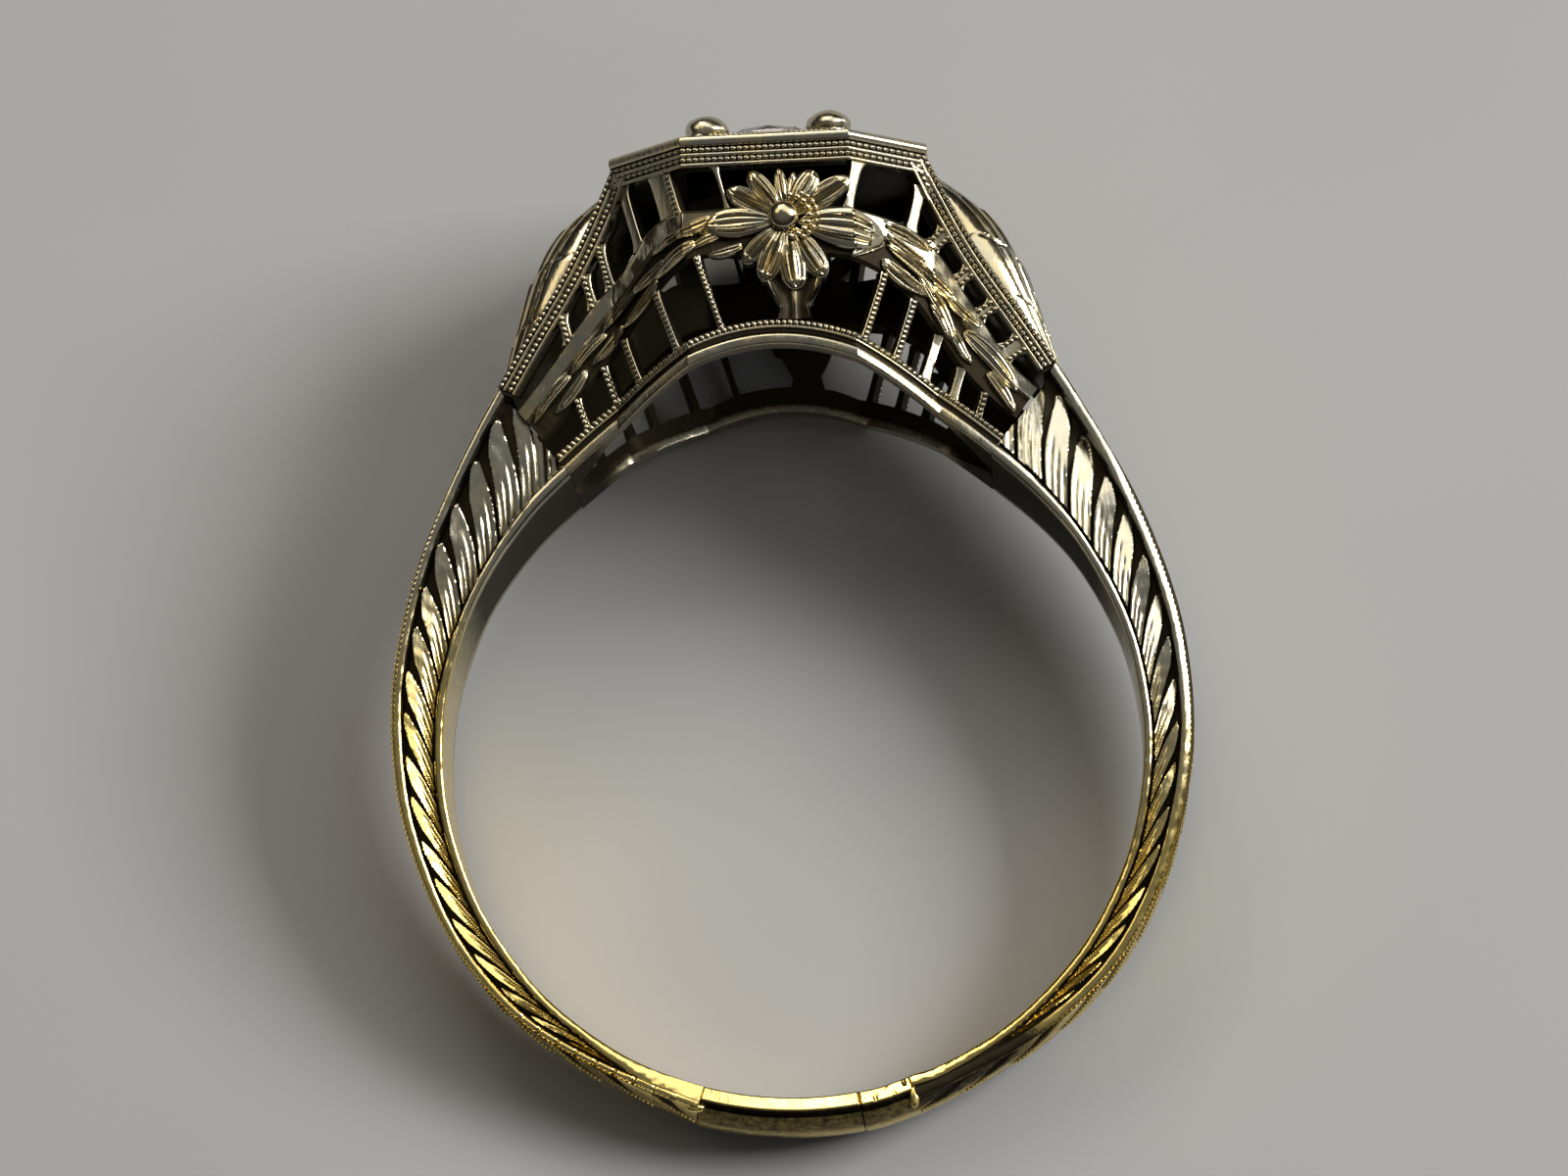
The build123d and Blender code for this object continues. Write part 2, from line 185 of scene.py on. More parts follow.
class Piece:
    """One visible piece, gathered from closed surfaces."""

    def __init__(self):
        self.points, self.recess, self.loops, self.sizes, self.count = [], [], [], [], 0

    def add(self, p, recess, faces):
        p = p.reshape(-1, 3)
        self.points.append(p)
        self.recess.append(np.broadcast_to(recess, (len(p),)))
        volume = 0
        for f in faces:
            for k in range(1, f.shape[1] - 1):
                a, b, c = p[f[:, 0]], p[f[:, k]], p[f[:, k + 1]]
                volume += np.einsum("ij,ij->i", a, np.cross(b, c)).sum()
        for f in faces:
            f = f[:, ::-1] if volume < 0 else f
            self.loops.append((f + self.count).ravel())
            self.sizes.append(np.full(len(f), f.shape[1]))
        self.count += len(p)

    def sweep(self, p, recess=0.0, ring=False):
        """p[along, around] is closed around; ring closes it along too, else it gets lids."""
        n, m = p.shape[:2]
        recess = np.broadcast_to(recess, (n, m)).ravel()
        i = np.arange(n if ring else n - 1)[:, None]
        j = np.arange(m)[None, :]
        i2, j2 = (i + 1) % n, (j + 1) % m
        quads = np.stack([i * m + j, i2 * m + j, i2 * m + j2, i * m + j2], -1).reshape(-1, 4)
        faces, extra = [quads], []
        if not ring:
            extra = [p[0].mean(0), p[-1].mean(0)]
            j = np.arange(m)
            j2 = (j + 1) % m
            last = (n - 1) * m
            first_lid = np.stack([np.full(m, n * m), j, j2], -1)
            last_lid = np.stack([np.full(m, n * m + 1), last + j2, last + j], -1)
            faces += [first_lid, last_lid]
            recess = np.r_[recess, recess[0], recess[-1]]
        self.add(np.vstack([p.reshape(-1, 3), *[e[None] for e in extra]]), recess, faces)

    def build(self, node, look, material, slot="white_gold"):
        """Makes the mesh that is seen in place of this CAD node."""
        mesh = bpy.data.meshes.new(f"{node}_{look}")
        points = to_world(np.vstack(self.points))
        loops, sizes = np.concatenate(self.loops), np.concatenate(self.sizes)
        mesh.vertices.add(len(points))
        mesh.vertices.foreach_set("co", points.ravel())
        mesh.loops.add(len(loops))
        mesh.loops.foreach_set("vertex_index", loops.astype(np.int32))
        mesh.polygons.add(len(sizes))
        starts = np.r_[0, np.cumsum(sizes)[:-1]]
        mesh.polygons.foreach_set("loop_start", starts.astype(np.int32))
        mesh.update(calc_edges=True)
        mesh.validate()
        # each point's darkness: patina and painted shade, read by the metal materials
        layer = mesh.attributes.new("recess", "FLOAT", "POINT")
        layer.data.foreach_set("value", np.concatenate(self.recess).astype(np.float32))
        mesh.shade_smooth()
        mesh.set_sharp_from_angle(angle=np.radians(CREASE))
        hand_in(mesh, material, node)


def placed(name, data):
    """A new object in the scene."""
    obj = bpy.data.objects.new(name, data)
    bpy.context.scene.collection.objects.link(obj)
    return obj


def hand_in(mesh, material, node):
    """Puts a finished mesh in the scene as the visible piece for a CAD node."""
    mesh.materials.append(material)
    obj = placed(mesh.name, mesh)
    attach(obj, "root")
    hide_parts(node)


def outward(curve):
    """Unit normals in the ring's plane, on the left of the way the curve runs."""
    along = unit(np.gradient(curve, axis=0))
    return np.stack([-along[:, 1], along[:, 0]], -1)


def shifted(curve, offset):
    return curve + outward(curve) * offset


def ribbon(piece, curve, section, side, scale=None, widen=None, recess=0.0, height=0.0):
    """Sweeps a section of (offset, height) along a curve on the wall."""
    curve, section = np.asarray(curve, float), np.asarray(section, float)
    out = outward(curve)
    size = np.ones(len(curve)) if scale is None else scale
    offset = section[None, :, 0] * (size if widen is None else size * widen)[:, None]
    up = section[None, :, 1] * size[:, None] + height
    x = curve[:, None, 0] + out[:, None, 0] * offset
    y = curve[:, None, 1] + out[:, None, 1] * offset
    piece.sweep(on_wall(x, y, up, side), recess)


GRAIN_STEPS, GRAIN_SIDES = 8, 10


def grain_row(curve, pitch):
    """A curve cut into steps of a row of beads, and how far out of the gaps each step is."""
    count = max(int(length_of(curve) / pitch), 1)
    curve = resample(curve, count * GRAIN_STEPS + 1)
    return curve, np.abs(np.sin(np.pi * np.arange(len(curve)) / GRAIN_STEPS))


def milgrain(piece, curve, radius, pitch, side, height=0.0):
    """A row of tiny beads raised along a curve."""
    curve, wave = grain_row(curve, pitch)
    a = full_turn(GRAIN_SIDES)
    circle = np.stack([np.cos(a), np.sin(a)], -1)
    # painted shade and patina, darkest in the gaps between the beads
    recess = np.repeat((0.2 + 0.75 * (1 - wave**0.5))[:, None], GRAIN_SIDES, 1)
    ribbon(piece, curve, circle, side, scale=radius * (0.5 + 0.5 * wave**0.6), recess=recess, height=height)


def slab(low, high, top, bottom, corner=0.05):
    """A closed section between two offsets, with rounded upper corners."""
    a = np.linspace(0, np.pi / 2, 5)
    left = [(low + corner * (1 - np.cos(t)), top - corner * (1 - np.sin(t))) for t in a]
    right = [(high - corner * (1 - np.cos(t)), top - corner * (1 - np.sin(t))) for t in a[::-1]]
    return [(low, bottom), *left, *right, (high, bottom)]


# painted shade round a slab's section: the top is left bright, the flanks darken downwards
FLANKS = np.array((1, 0.75, 0.2, 0, 0, 0, 0, 0, 0, 0.2, 0.75, 1))[None, :]


def relief(piece, side, x, y, h, dark, x_low, y_low, h_low=BAR_BOTTOM):
    """A sheet in relief, with a flat underside of fewer columns, painted black as shade."""
    below = on_wall(x_low, y_low, np.full(x_low.shape, h_low), side)
    points = np.concatenate([on_wall(x, y, h, side), below], 1)
    piece.sweep(points, np.concatenate([dark, np.ones(x_low.shape)], 1))


def blade(piece, side, root, tip, half_width, rise,
          bend=0.0, base=0.0, sink=0.3, veins=3, blunt=0.8, fall=0.4):
    """A leaf or petal in relief, grooved along its length."""
    root, tip = np.asarray(root, float), np.asarray(tip, float)
    run = tip - root
    length = np.linalg.norm(run)
    normal = np.array((-run[1], run[0])) / length
    p = np.linspace(0, 1, max(int(length / 0.035), 12))[:, None]
    q = np.linspace(-1, 1, 29)[None, :]
    spread = np.sin(np.pi * p**blunt) ** 0.5 * 0.97 + 0.03
    bow = 4 * p * (1 - p) * bend * length

    def place(q):
        aside = bow + q * half_width * spread
        return root[0] + run[0] * p + normal[0] * aside, root[1] + run[1] * p + normal[1] * aside

    dome = np.sqrt(np.clip(1 - q**2, 0, 1)) ** 0.8
    body = (1 - fall * np.abs(2 * p - 0.9)) * dome * np.minimum(spread + 0.25, 1)
    groove = np.exp(-((q / 0.09) ** 2)) * np.sin(np.pi * np.clip(p * 1.05, 0, 1)) ** 0.3
    lines = 0
    for k in range(1, veins):
        for s in (-1, 1):
            lines = lines + np.exp(-(((q - s * k / veins) / 0.05) ** 2)) * (p < 0.85)
    cut = 0.45 * groove + 0.22 * lines
    h = base + rise * body * (1 - cut)
    # painted shade and patina in the grooves and veins, painted shade along the edges
    dark = np.clip(1.1 * cut + 0.9 * (np.abs(q) > 0.93), 0, 1) + 0 * p
    under = np.array((0.9, 0.3, -0.3, -0.9))[None, :]
    relief(piece, side, *place(q), h, dark, *place(under), base - sink)


# ---- materials ----


def node(tree, kind, **values):
    """A shader node: in_X sets its input X to a value, or links the output given to it."""
    made = tree.nodes.new(kind)
    for key, value in values.items():
        if not key.startswith("in_"):
            setattr(made, key, value)
            continue
        name = key[3:].replace("_", " ")
        socket = made.inputs[int(name) if name.isdigit() else name]
        if isinstance(value, bpy.types.NodeSocket):
            tree.links.new(value, socket)
        else:
            socket.default_value = value
    return made


def noise(tree, vector, scale, detail, roughness=0.5):
    return node(tree, "ShaderNodeTexNoise", in_Vector=vector, in_Scale=scale, in_Detail=detail,
                in_Roughness=roughness).outputs[0]


def swing(tree, value, amount, middle=0.5):
    """A noise value turned into a change of either sign."""
    return node(tree, "ShaderNodeMath", operation="MULTIPLY_ADD", in_0=value, in_1=amount,
                in_2=-middle * amount).outputs[0]


def blend(tree, factor, first, second):
    """A mix of two colours, each a tuple or an output."""
    first, second = ((*c, 1) if isinstance(c, tuple) else c for c in (first, second))
    return node(tree, "ShaderNodeMix", data_type="RGBA", in_0=factor, in_6=first, in_7=second).outputs[2]


def ranged(tree, value, low, high, to_low, to_high, kind="LINEAR"):
    return node(tree, "ShaderNodeMapRange", interpolation_type=kind, in_0=value, in_1=low, in_2=high,
                in_3=to_low, in_4=to_high).outputs[0]


def new_material(name):
    """A material, its node tree, its shader and the object's own coordinates."""
    material = bpy.data.materials.new(name)
    material.use_nodes = True
    tree = material.node_tree
    return material, tree, tree.nodes["Principled BSDF"], node(tree, "ShaderNodeTexCoord").outputs["Object"]


def metal(name, neutral, warm, roughness=0.16, warmth=(9.0, -6.0), scratch=1.0, patches=0.5):
    """Polished gold: warm low on the ring, dark with patina and painted shade where the mesh's darkness value
    is high.
    """
    material, tree, bsdf, place = new_material(name)
    link = tree.links.new
    bsdf.inputs["Metallic"].default_value = 1.0

    # the tint, in patches, by height on the ring; the right side stays neutral further down
    split = node(tree, "ShaderNodeSeparateXYZ", in_0=place)
    height = node(tree, "ShaderNodeMath", operation="MULTIPLY_ADD", in_0=split.outputs["X"], in_1=0.2,
                  in_2=split.outputs["Y"]).outputs[0]
    fade = ranged(tree, height, warmth[0] * MM, warmth[1] * MM, 0.0, 1.0, "SMOOTHSTEP")
    sway = swing(tree, noise(tree, place, 900.0, 4.0, 0.6), patches, 0.42)
    total = node(tree, "ShaderNodeMath", operation="ADD", use_clamp=True, in_0=fade, in_1=sway)
    tint = blend(tree, total.outputs[0], neutral, warm)

    # recesses and shaded places darkened with patina and painted shade, with worn edges
    recess = node(tree, "ShaderNodeAttribute", attribute_name="recess").outputs["Fac"]
    worn = swing(tree, noise(tree, place, 6000.0, 5.0, 0.7), 0.5)
    shade_patina_wear = node(tree, "ShaderNodeMath", operation="ADD", use_clamp=True, in_0=recess, in_1=worn)
    shade_patina_wear = ranged(tree, shade_patina_wear.outputs[0], 0.15, 0.75, 0.0, 1.0)
    link(blend(tree, shade_patina_wear, tint, PATINA_AND_SHADE), bsdf.inputs["Base Color"])

    # uneven polish and fine scratches that run one way
    scuff = noise(tree, place, 2500.0, 6.0, 0.65)
    polish = ranged(tree, scuff, 0.3, 0.75, roughness * 0.6, roughness * 1.7)
    rough = node(tree, "ShaderNodeMix", data_type="FLOAT", in_0=shade_patina_wear, in_2=polish, in_3=0.6)
    link(rough.outputs[0], bsdf.inputs["Roughness"])
    stretch = node(tree, "ShaderNodeMapping", in_Vector=place, in_Rotation=(0.2, 0.4, 0.6),
                   in_Scale=(1.0, 0.12, 1.0))
    hair = noise(tree, stretch.outputs[0], 9000.0, 3.0, 0.7)
    mixed = node(tree, "ShaderNodeMath", operation="MULTIPLY_ADD", in_0=scuff, in_1=0.6, in_2=hair)
    bump = node(tree, "ShaderNodeBump", in_Strength=0.25 * scratch, in_Distance=0.02 * MM,
                in_Height=mixed.outputs[0])
    link(bump.outputs[0], bsdf.inputs["Normal"])
    return material


WHITE = (0.64, 0.60, 0.47)
GREY = (0.47, 0.44, 0.34)
PALE = (0.82, 0.63, 0.26)
YELLOW = (0.92, 0.71, 0.24)
# the dark of patina in the hollows, also used as painted shade
PATINA_AND_SHADE = (0.035, 0.028, 0.017)

white_gold = metal("white_gold", GREY, PALE, patches=1.7)
leaf_gold = metal("leaf_gold", GREY, PALE, roughness=0.13, patches=2.2)
grain_gold = metal("grain_gold", GREY, PALE, roughness=0.2, patches=1.7)
plain_gold = metal("plain_gold", GREY, PALE, roughness=0.2, scratch=1.4, patches=1.4)
shank_gold = metal("shank_gold", WHITE, YELLOW, warmth=(4.0, -2.5), patches=0.9)
insert_gold = metal("insert_gold", WHITE, YELLOW, warmth=(4.0, -2.5), roughness=0.2, scratch=1.6)

# ---- shank ----


def profile(points):
    """Radius as a function of the angle from the head's middle, for the right-hand side."""
    dense = spline(points, 600)
    angle = bearing(dense)
    order = np.argsort(angle)
    return lambda a: np.interp(a, angle[order], np.hypot(*dense.T)[order])


shank_radius = profile([polar(BOTTOM_R, 180 - INSERT), *SHANK_OUT, *RAIL_HIGH[::-1]])
arch_line = arch(0, 400, HALF_GAP)
arch_angle = bearing(arch_line)


def inner_radius(a):
    return np.where(a < HALF_GAP, np.interp(a, arch_angle, np.hypot(*arch_line.T)), FINGER_R)


def outer_radius(a):
    return np.where(a > 180 - INSERT, BOTTOM_R, shank_radius(np.minimum(a, 180 - INSERT)))


def half_width(y):
    return np.interp(y, (-7.75, 9.2), (BOTTOM_HALF, 1.95))


def flank_z(radius, angle):
    """Half the shank's width, which meets the gallery wall at the shoulder."""
    a = np.radians(angle)
    plain = half_width(radius * np.cos(a))
    wall = np.interp(radius * np.sin(a), WALL_X, WALL_Z)
    return plain + (wall - plain) * smooth(angle, 62, SHOULDER)


# the engraved lines in each leaf: place across the leaf, strength
LEAF_LINES = ((0.28, 0.8), (0.55, 1.0), (0.8, 0.7))
SIDE_PITCH, OUTER_PITCH, PLATE_PITCH = 0.98, 1.3, 1.1
# the rims along the edges of the shank's outside
OUTER_RIM = 0.11


def wheat(s, b, width, pitch, floor, lean=1.55, inward=0.18, other=None, turn=0.07):
    """Depth and darkness of engraved leaves: s along the shank, b across a band of this width.

    Leaves lean by so many pitches across the band. They fall inwards, the odd ones by other, and turn about
    their own length. Wedge-shaped cuts down to floor lie between them; cuts and lines get painted shade and
    patina.
    """
    across = np.clip(b / width, 0, 1)
    flow = s / pitch - lean * (1 - across) ** 1.2
    k = np.floor(flow)
    odd = np.mod(k, 2)
    f = flow - k
    cut = 0.05 + (0.27 - 0.07 * odd) * smooth(across, 0.25, 1.0) + 0.03 * grain(k * 1.7, k * 0.9, 3.0)
    u = (f - cut) / (1 - cut)
    line = 0
    for at, deep in LEAF_LINES:
        length = smooth(across, 0.75 - 0.3 * at, 0.35 - 0.2 * at)
        line = line + deep * np.exp(-(((u - at) / 0.05) ** 2)) * length
    fall = inward if other is None else inward + (other - inward) * odd
    fall = fall * (1 + 0.3 * grain(k * 1.9, k * 0.7, 2.0))
    top = 0.02 + np.where(fall > 0, fall * (1 - across), -fall * across)
    own = 1 + 0.6 * grain(k * 2.3, k * 1.1, 7.0)
    top = top + turn * own * (1 - np.clip(u, 0, 1)) + 0.05 * line
    tip = 1.03 - (0.11 + 0.05 * odd) * (2 * u - 0.8) ** 2
    edge = 1 - smooth(u, 0.0, 0.05) * smooth(1 - u, 0.0, 0.04) * smooth(tip - across, 0.0, 0.05)
    depth = top * (1 - edge) + floor * edge
    return depth, np.clip(0.8 * line + edge * 1.1, 0, 1)


def rim(u):
    """A rounded rim over u from -1 to 1."""
    return 0.06 * (1 - np.sqrt(np.clip(1 - u**2, 0, 1)))


def side_relief(s, t, wide, outer_rim, inner_rim, floor, inward, other, turn):
    """Depth and darkness of the side face, t from the finger hole to the outside; leaf falls are slopes."""
    b = t * wide
    groove = 0.05
    low, high = inner_rim + groove, wide - outer_rim - groove
    inward, other = inward * (high - low), other * (high - low)
    depth, dark = wheat(s, b - low, high - low, SIDE_PITCH, floor, inward=inward, other=other, turn=turn)
    # the grooves beside the rims are painted black as shade
    in_groove = (b < low) | (b > high)
    depth, dark = np.where(in_groove, 0.9 * floor, depth), np.where(in_groove, 1.0, dark)
    for u, on_rim in ((2 * b / inner_rim - 1, b <= inner_rim),
                      (2 * (wide - b) / outer_rim - 1, b >= wide - outer_rim)):
        depth, dark = np.where(on_rim, rim(u), depth), np.where(on_rim, 0.0, dark)
    return depth, dark


def band(angles, hand, side_cut, outer_cut, swell, side_n, outer_n):
    """A closed stretch of shank: near face, outside, far face and inside at each angle."""
    a = angles[:, None]
    inner, outer = inner_radius(a), outer_radius(a)
    dome = 0.06 + 0.24 * smooth(a, 115, 165)
    edge = outer - dome
    steps = np.abs(np.diff(np.radians(angles))) * 0.5 * (inner + edge)[1:, 0]
    s = np.r_[0, np.cumsum(steps)][:, None]
    t = np.linspace(0, 1, side_n)[None, :]
    radius = inner + (edge - inner) * t
    depth, dark = side_cut(s, t, edge - inner, a)
    shift = swell(a)
    near = flank_z(radius, a) - depth
    v = np.linspace(1, -1, outer_n)[None, 1:-1]
    flank = flank_z(edge, a)
    cut, cut_dark = outer_cut(s, v, flank, a)
    bow = edge + dome * (1 - v**2) - cut
    across = flank * v
    inside_z = near[:, :1] * np.linspace(-1, 1, 9)[None, 1:-1]
    r = np.concatenate([radius, bow, radius[:, ::-1], inner + 0 * inside_z], 1) + shift
    z = np.concatenate([near, across, -near[:, ::-1], inside_z], 1)
    x = hand * r * np.sin(np.radians(a))
    y = r * np.cos(np.radians(a))
    # painted shade inside the ring, growing towards the head
    inside_shade = 0.95 * smooth(a, 88, 52) + 0 * inside_z  # the inside darkens towards the head
    recess = np.concatenate([dark, cut_dark, dark[:, ::-1], inside_shade], 1)
    return np.stack([x, y, z], -1), np.clip(recess, 0, 1)


def every(s, pitch, width):
    """One short mark in each pitch."""
    return np.exp(-((np.mod(s, pitch) / pitch - 0.5) / width) ** 2)


def shank_half(hand, name):
    rims = {-1: (0.24, 0.16), 1: (0.30, 0.22)}[hand]  # the outer rim at the head and at the bottom

    def side_cut(s, t, wide, a):
        outer_rim = rims[0] + (rims[1] - rims[0]) * smooth(a, 90, 150)
        inner_rim = 0.20 + 0.08 * smooth(a, 60, 40) + (0.22 if hand < 0 else 0.06) * smooth(a, 140, 162)
        floor = np.minimum(0.38, 0.34 * wide)
        # slopes of the leaves across the band: inwards on the left, outwards or flat on the right
        upper = smooth(a, 118, 98)
        right_leaves = (-0.17 * upper, -0.33 * upper, 0.10 - 0.07 * upper)
        inward, other, turn = (0.2, 0.2, 0.07) if hand < 0 else right_leaves
        depth, dark = side_relief(s, t, wide, outer_rim, inner_rim, floor, inward, other, turn)

        # the outer rim: fine notches, scallops low on the left, a slanted facet and painted shade on the
        # right; notches and scallops are darkened with painted shade
        b = t * wide
        on_rim = b > wide - outer_rim
        shade = (hand > 0) * smooth(a, 130, 148)
        notch = every(s, 0.13, 0.22) * smooth(t, 0.93, 1.0) * on_rim * smooth(a, 50, 65) * (1 - shade)
        scallop = every(s, 0.49, 0.09) * smooth(a, 128, 140) * on_rim * (hand < 0)
        facet = np.clip((b - wide + outer_rim) / outer_rim, 0, 1) * smooth(a, 46, 58) * smooth(a, 125, 105)
        low_shade = 0.9 * shade * on_rim
        depth = depth + 0.05 * notch + 0.06 * scallop + 0.12 * facet * (hand > 0)
        dark = dark + 0.5 * notch + 0.6 * scallop

        # worn near the insert, where the inner rim slants towards the finger
        worn = smooth(a, 146, 163) * (0.75 if hand < 0 else 0.3)
        slope = 0.27 * smooth(a, 118, 135) if hand < 0 else 0.35 * smooth(a, 98, 115)
        slant = slope * np.clip(inner_rim - b, 0, None)
        depth = depth * (1 - worn) + slant + 0.006 * grain(s * 9, t * 7, hand)
        return depth, dark * (1 - 0.5 * worn) + low_shade

    def outer_cut(s, v, flank, a):
        c = (1 - np.abs(v)) * flank
        cut, dark = wheat(s, flank - 0.1 - c, flank - 0.12, OUTER_PITCH, 0.13, lean=1.2, inward=0.0)
        # the groove beside the rim is painted black as shade
        on_rim, in_groove = c < OUTER_RIM, np.abs(c - 0.14) < 0.03
        cut = np.where(on_rim, rim(2 * c / OUTER_RIM - 1) * 0.6, np.where(in_groove, 0.1, cut))
        dark = np.where(on_rim, 0.0, np.where(in_groove, 1.0, dark))
        keep = (1 - 0.6 * smooth(a, 41, 38)) * (1 - 0.45 * smooth(a, 140, 163))
        # painted shade low on the outside, towards its edges, stronger on the right
        low_shade = (0.75 if hand > 0 else 0.3) * smooth(a, 130, 150) * smooth(np.abs(v), 0.1, 0.6)
        return cut * keep, dark * keep + low_shade

    def swell(a):
        return -0.05 * smooth(a, 158.5, 163) * (hand > 0) + 0.006 * np.sin(a * 0.35 + hand)

    angles = np.linspace(180 - INSERT, SHOULDER, 900)[::-1]
    points, recess = band(angles, hand, side_cut, outer_cut, swell, 60, 44)
    # the end inside the head is painted black as shade: one more row, a hair inside the first
    end = points[:1] + (points[:1].mean(1, keepdims=True) - points[:1]) * 0.01
    end = end - (points[1:2] - points[:1]) * 0.2
    piece = Piece()
    piece.sweep(np.concatenate([end, points]), np.concatenate([np.ones_like(recess[:1]), recess]))
    piece.build(name, "engraved", shank_gold, "shank_gold")


def shank_insert():
    """The plain repair piece at the bottom, with its solder seams."""
    angles = np.linspace(180 - INSERT, 180 + INSERT, 320)

    def seam(a, at, width):
        return np.exp(-(((a - at) / width) ** 2))

    def side_cut(s, t, wide, a):
        seams = 0.05 * (seam(a, SEAM_ANGLE, 0.16) + seam(a, 180 - INSERT, 0.2) + seam(a, 180 + INSERT, 0.2))
        inside = 0.15 * np.clip(1 - t / 0.55, 0, 1)
        outside = 0.34 * np.clip((t - 0.5) / 0.5, 0, 1) ** 1.7
        pits = 0.05 * np.clip(grain(a * 2.4, t * 5, 2.0) - 0.35, 0, 1) * smooth(a, 172, 168)
        depth = 0.02 + inside + outside + seams + pits + 0.006 * grain(s * 3, t * 3, 1.0)
        # dark seams and pits, and painted shade over the outer half of the side face and along its inner edge
        dark = smooth(seams + pits, 0.02, 0.05) + 0.78 * smooth(t, 0.48, 0.64) + 0.9 * smooth(t, 0.1, 0.0)
        return depth, dark

    def outer_cut(s, v, flank, a):
        seams = 0.04 * (seam(a, SEAM_ANGLE, 0.16) + seam(a, 180 + INSERT, 0.2))
        depth = seams + 0.01 * (1 + grain(s * 2.2, v * 4, 5.0)) + 0.02 * smooth(a, 171, 166)
        depth = depth + 0.10 * smooth(np.abs(v), 0.6, 1.0) ** 2
        # dark seams, and painted shade away from the middle of the outside
        dark = smooth(seams, 0.02, 0.05) + 0.66 * smooth(np.abs(v), 0.1, 0.6)
        return depth, np.clip(dark, 0, 1) + 0 * depth

    def swell(a):
        return 0.015 * smooth(a, 171.9, 171.4) - 0.04 * smooth(a, 169, 163)

    piece = Piece()
    piece.sweep(*band_both(angles, side_cut, outer_cut, swell))
    blob(piece, (*polar(8.72, 163.4), 0.96), (0.12, 0.26, 0.10))
    blob(piece, (*polar(8.78, 197.4), 0.88), (0.24, 0.12, 0.12))
    piece.build("sizing_insert", "plain", insert_gold, "shank_gold")


def band_both(angles, side_cut, outer_cut, swell):
    """A band that crosses the bottom of the ring, with cuts that depend on the unfolded angle."""
    folded = 180 - np.abs(180 - angles)
    points, recess = band(folded, 1, lambda s, t, w, a: side_cut(s, t, w, angles[:, None]),
                          lambda s, v, f, a: outer_cut(s, v, f, angles[:, None]),
                          lambda a: swell(angles[:, None]), 40, 32)
    points[..., 0] *= np.where(angles > 180, -1, 1)[:, None]
    return points, recess


def blob(piece, centre, radii, seed=1.0, turns=28, rings=16):
    """A lumpy closed drop."""
    v = np.linspace(0.02, np.pi - 0.02, rings)[:, None]
    u = full_turn(turns)[None]
    lump = 1 + 0.06 * grain(3 * np.cos(u) * np.sin(v) + 2 * np.cos(v), 3 * np.sin(u) * np.sin(v), seed)
    ball = np.stack([np.cos(u) * np.sin(v), np.sin(u) * np.sin(v), np.cos(v) + 0 * u], -1)
    piece.sweep(np.asarray(centre) + ball * lump[..., None] * np.asarray(radii))


shank_half(-1, "shank_left")
shank_half(1, "shank_right")
shank_insert()

# ---- galleries ----


def within(curve, half_angle=SHOULDER):
    return curve[np.abs(bearing(curve)) <= half_angle + 0.05]


def rounded(curve, reach):
    """The curve with its corners rounded by a running mean."""
    step = length_of(curve) / (len(curve) - 1)
    n = max(int(reach / step), 1)
    padded = np.vstack([curve[:1]] * n + [curve] + [curve[-1:]] * n)
    kernel = np.ones(2 * n + 1) / (2 * n + 1)
    return np.stack([np.convolve(padded[:, k], kernel, "valid") for k in (0, 1)], -1)


slope = spline(RAIL_HIGH, 300)
ridge = resample([(-END_X, TOP_Y), (END_X, TOP_Y)], 380)[1:-1]
top_line = np.vstack([mirrored(slope, -1)[::-1], ridge, slope])
top_line = rounded(within(resample(top_line, 1400)), 0.09)

# the lower and upper edges of the leaf swags, left (-1) and right (1), with X outwards
SWAG_LOW = {
    -1: ((0.35, 11.1), (1.6, 11.25), (2.5, 10.85), (3.1, 10.3), (3.9, 9.35), (4.7, 8.45), (5.7, 7.35)),
    1: ((0.9, 11.2), (2.0, 11.05), (2.8, 10.75), (3.6, 10.0), (4.2, 9.0), (4.8, 8.2), (5.7, 7.35)),
}
SWAG_HIGH = {
    -1: ((0.35, 12.5), (1.5, 12.4), (2.85, 12.2), (3.4, 11.55), (4.2, 10.8), (4.9, 9.9), (6.4, 8.0)),
    1: ((0.9, 12.5), (2.0, 12.3), (3.2, 12.1), (3.8, 11.75), (4.4, 10.85), (4.95, 9.9), (5.6, 8.8),
        (6.4, 8.0)),
}
swag_low, swag_high = ({h: spline(p, 200) for h, p in edge.items()} for edge in (SWAG_LOW, SWAG_HIGH))


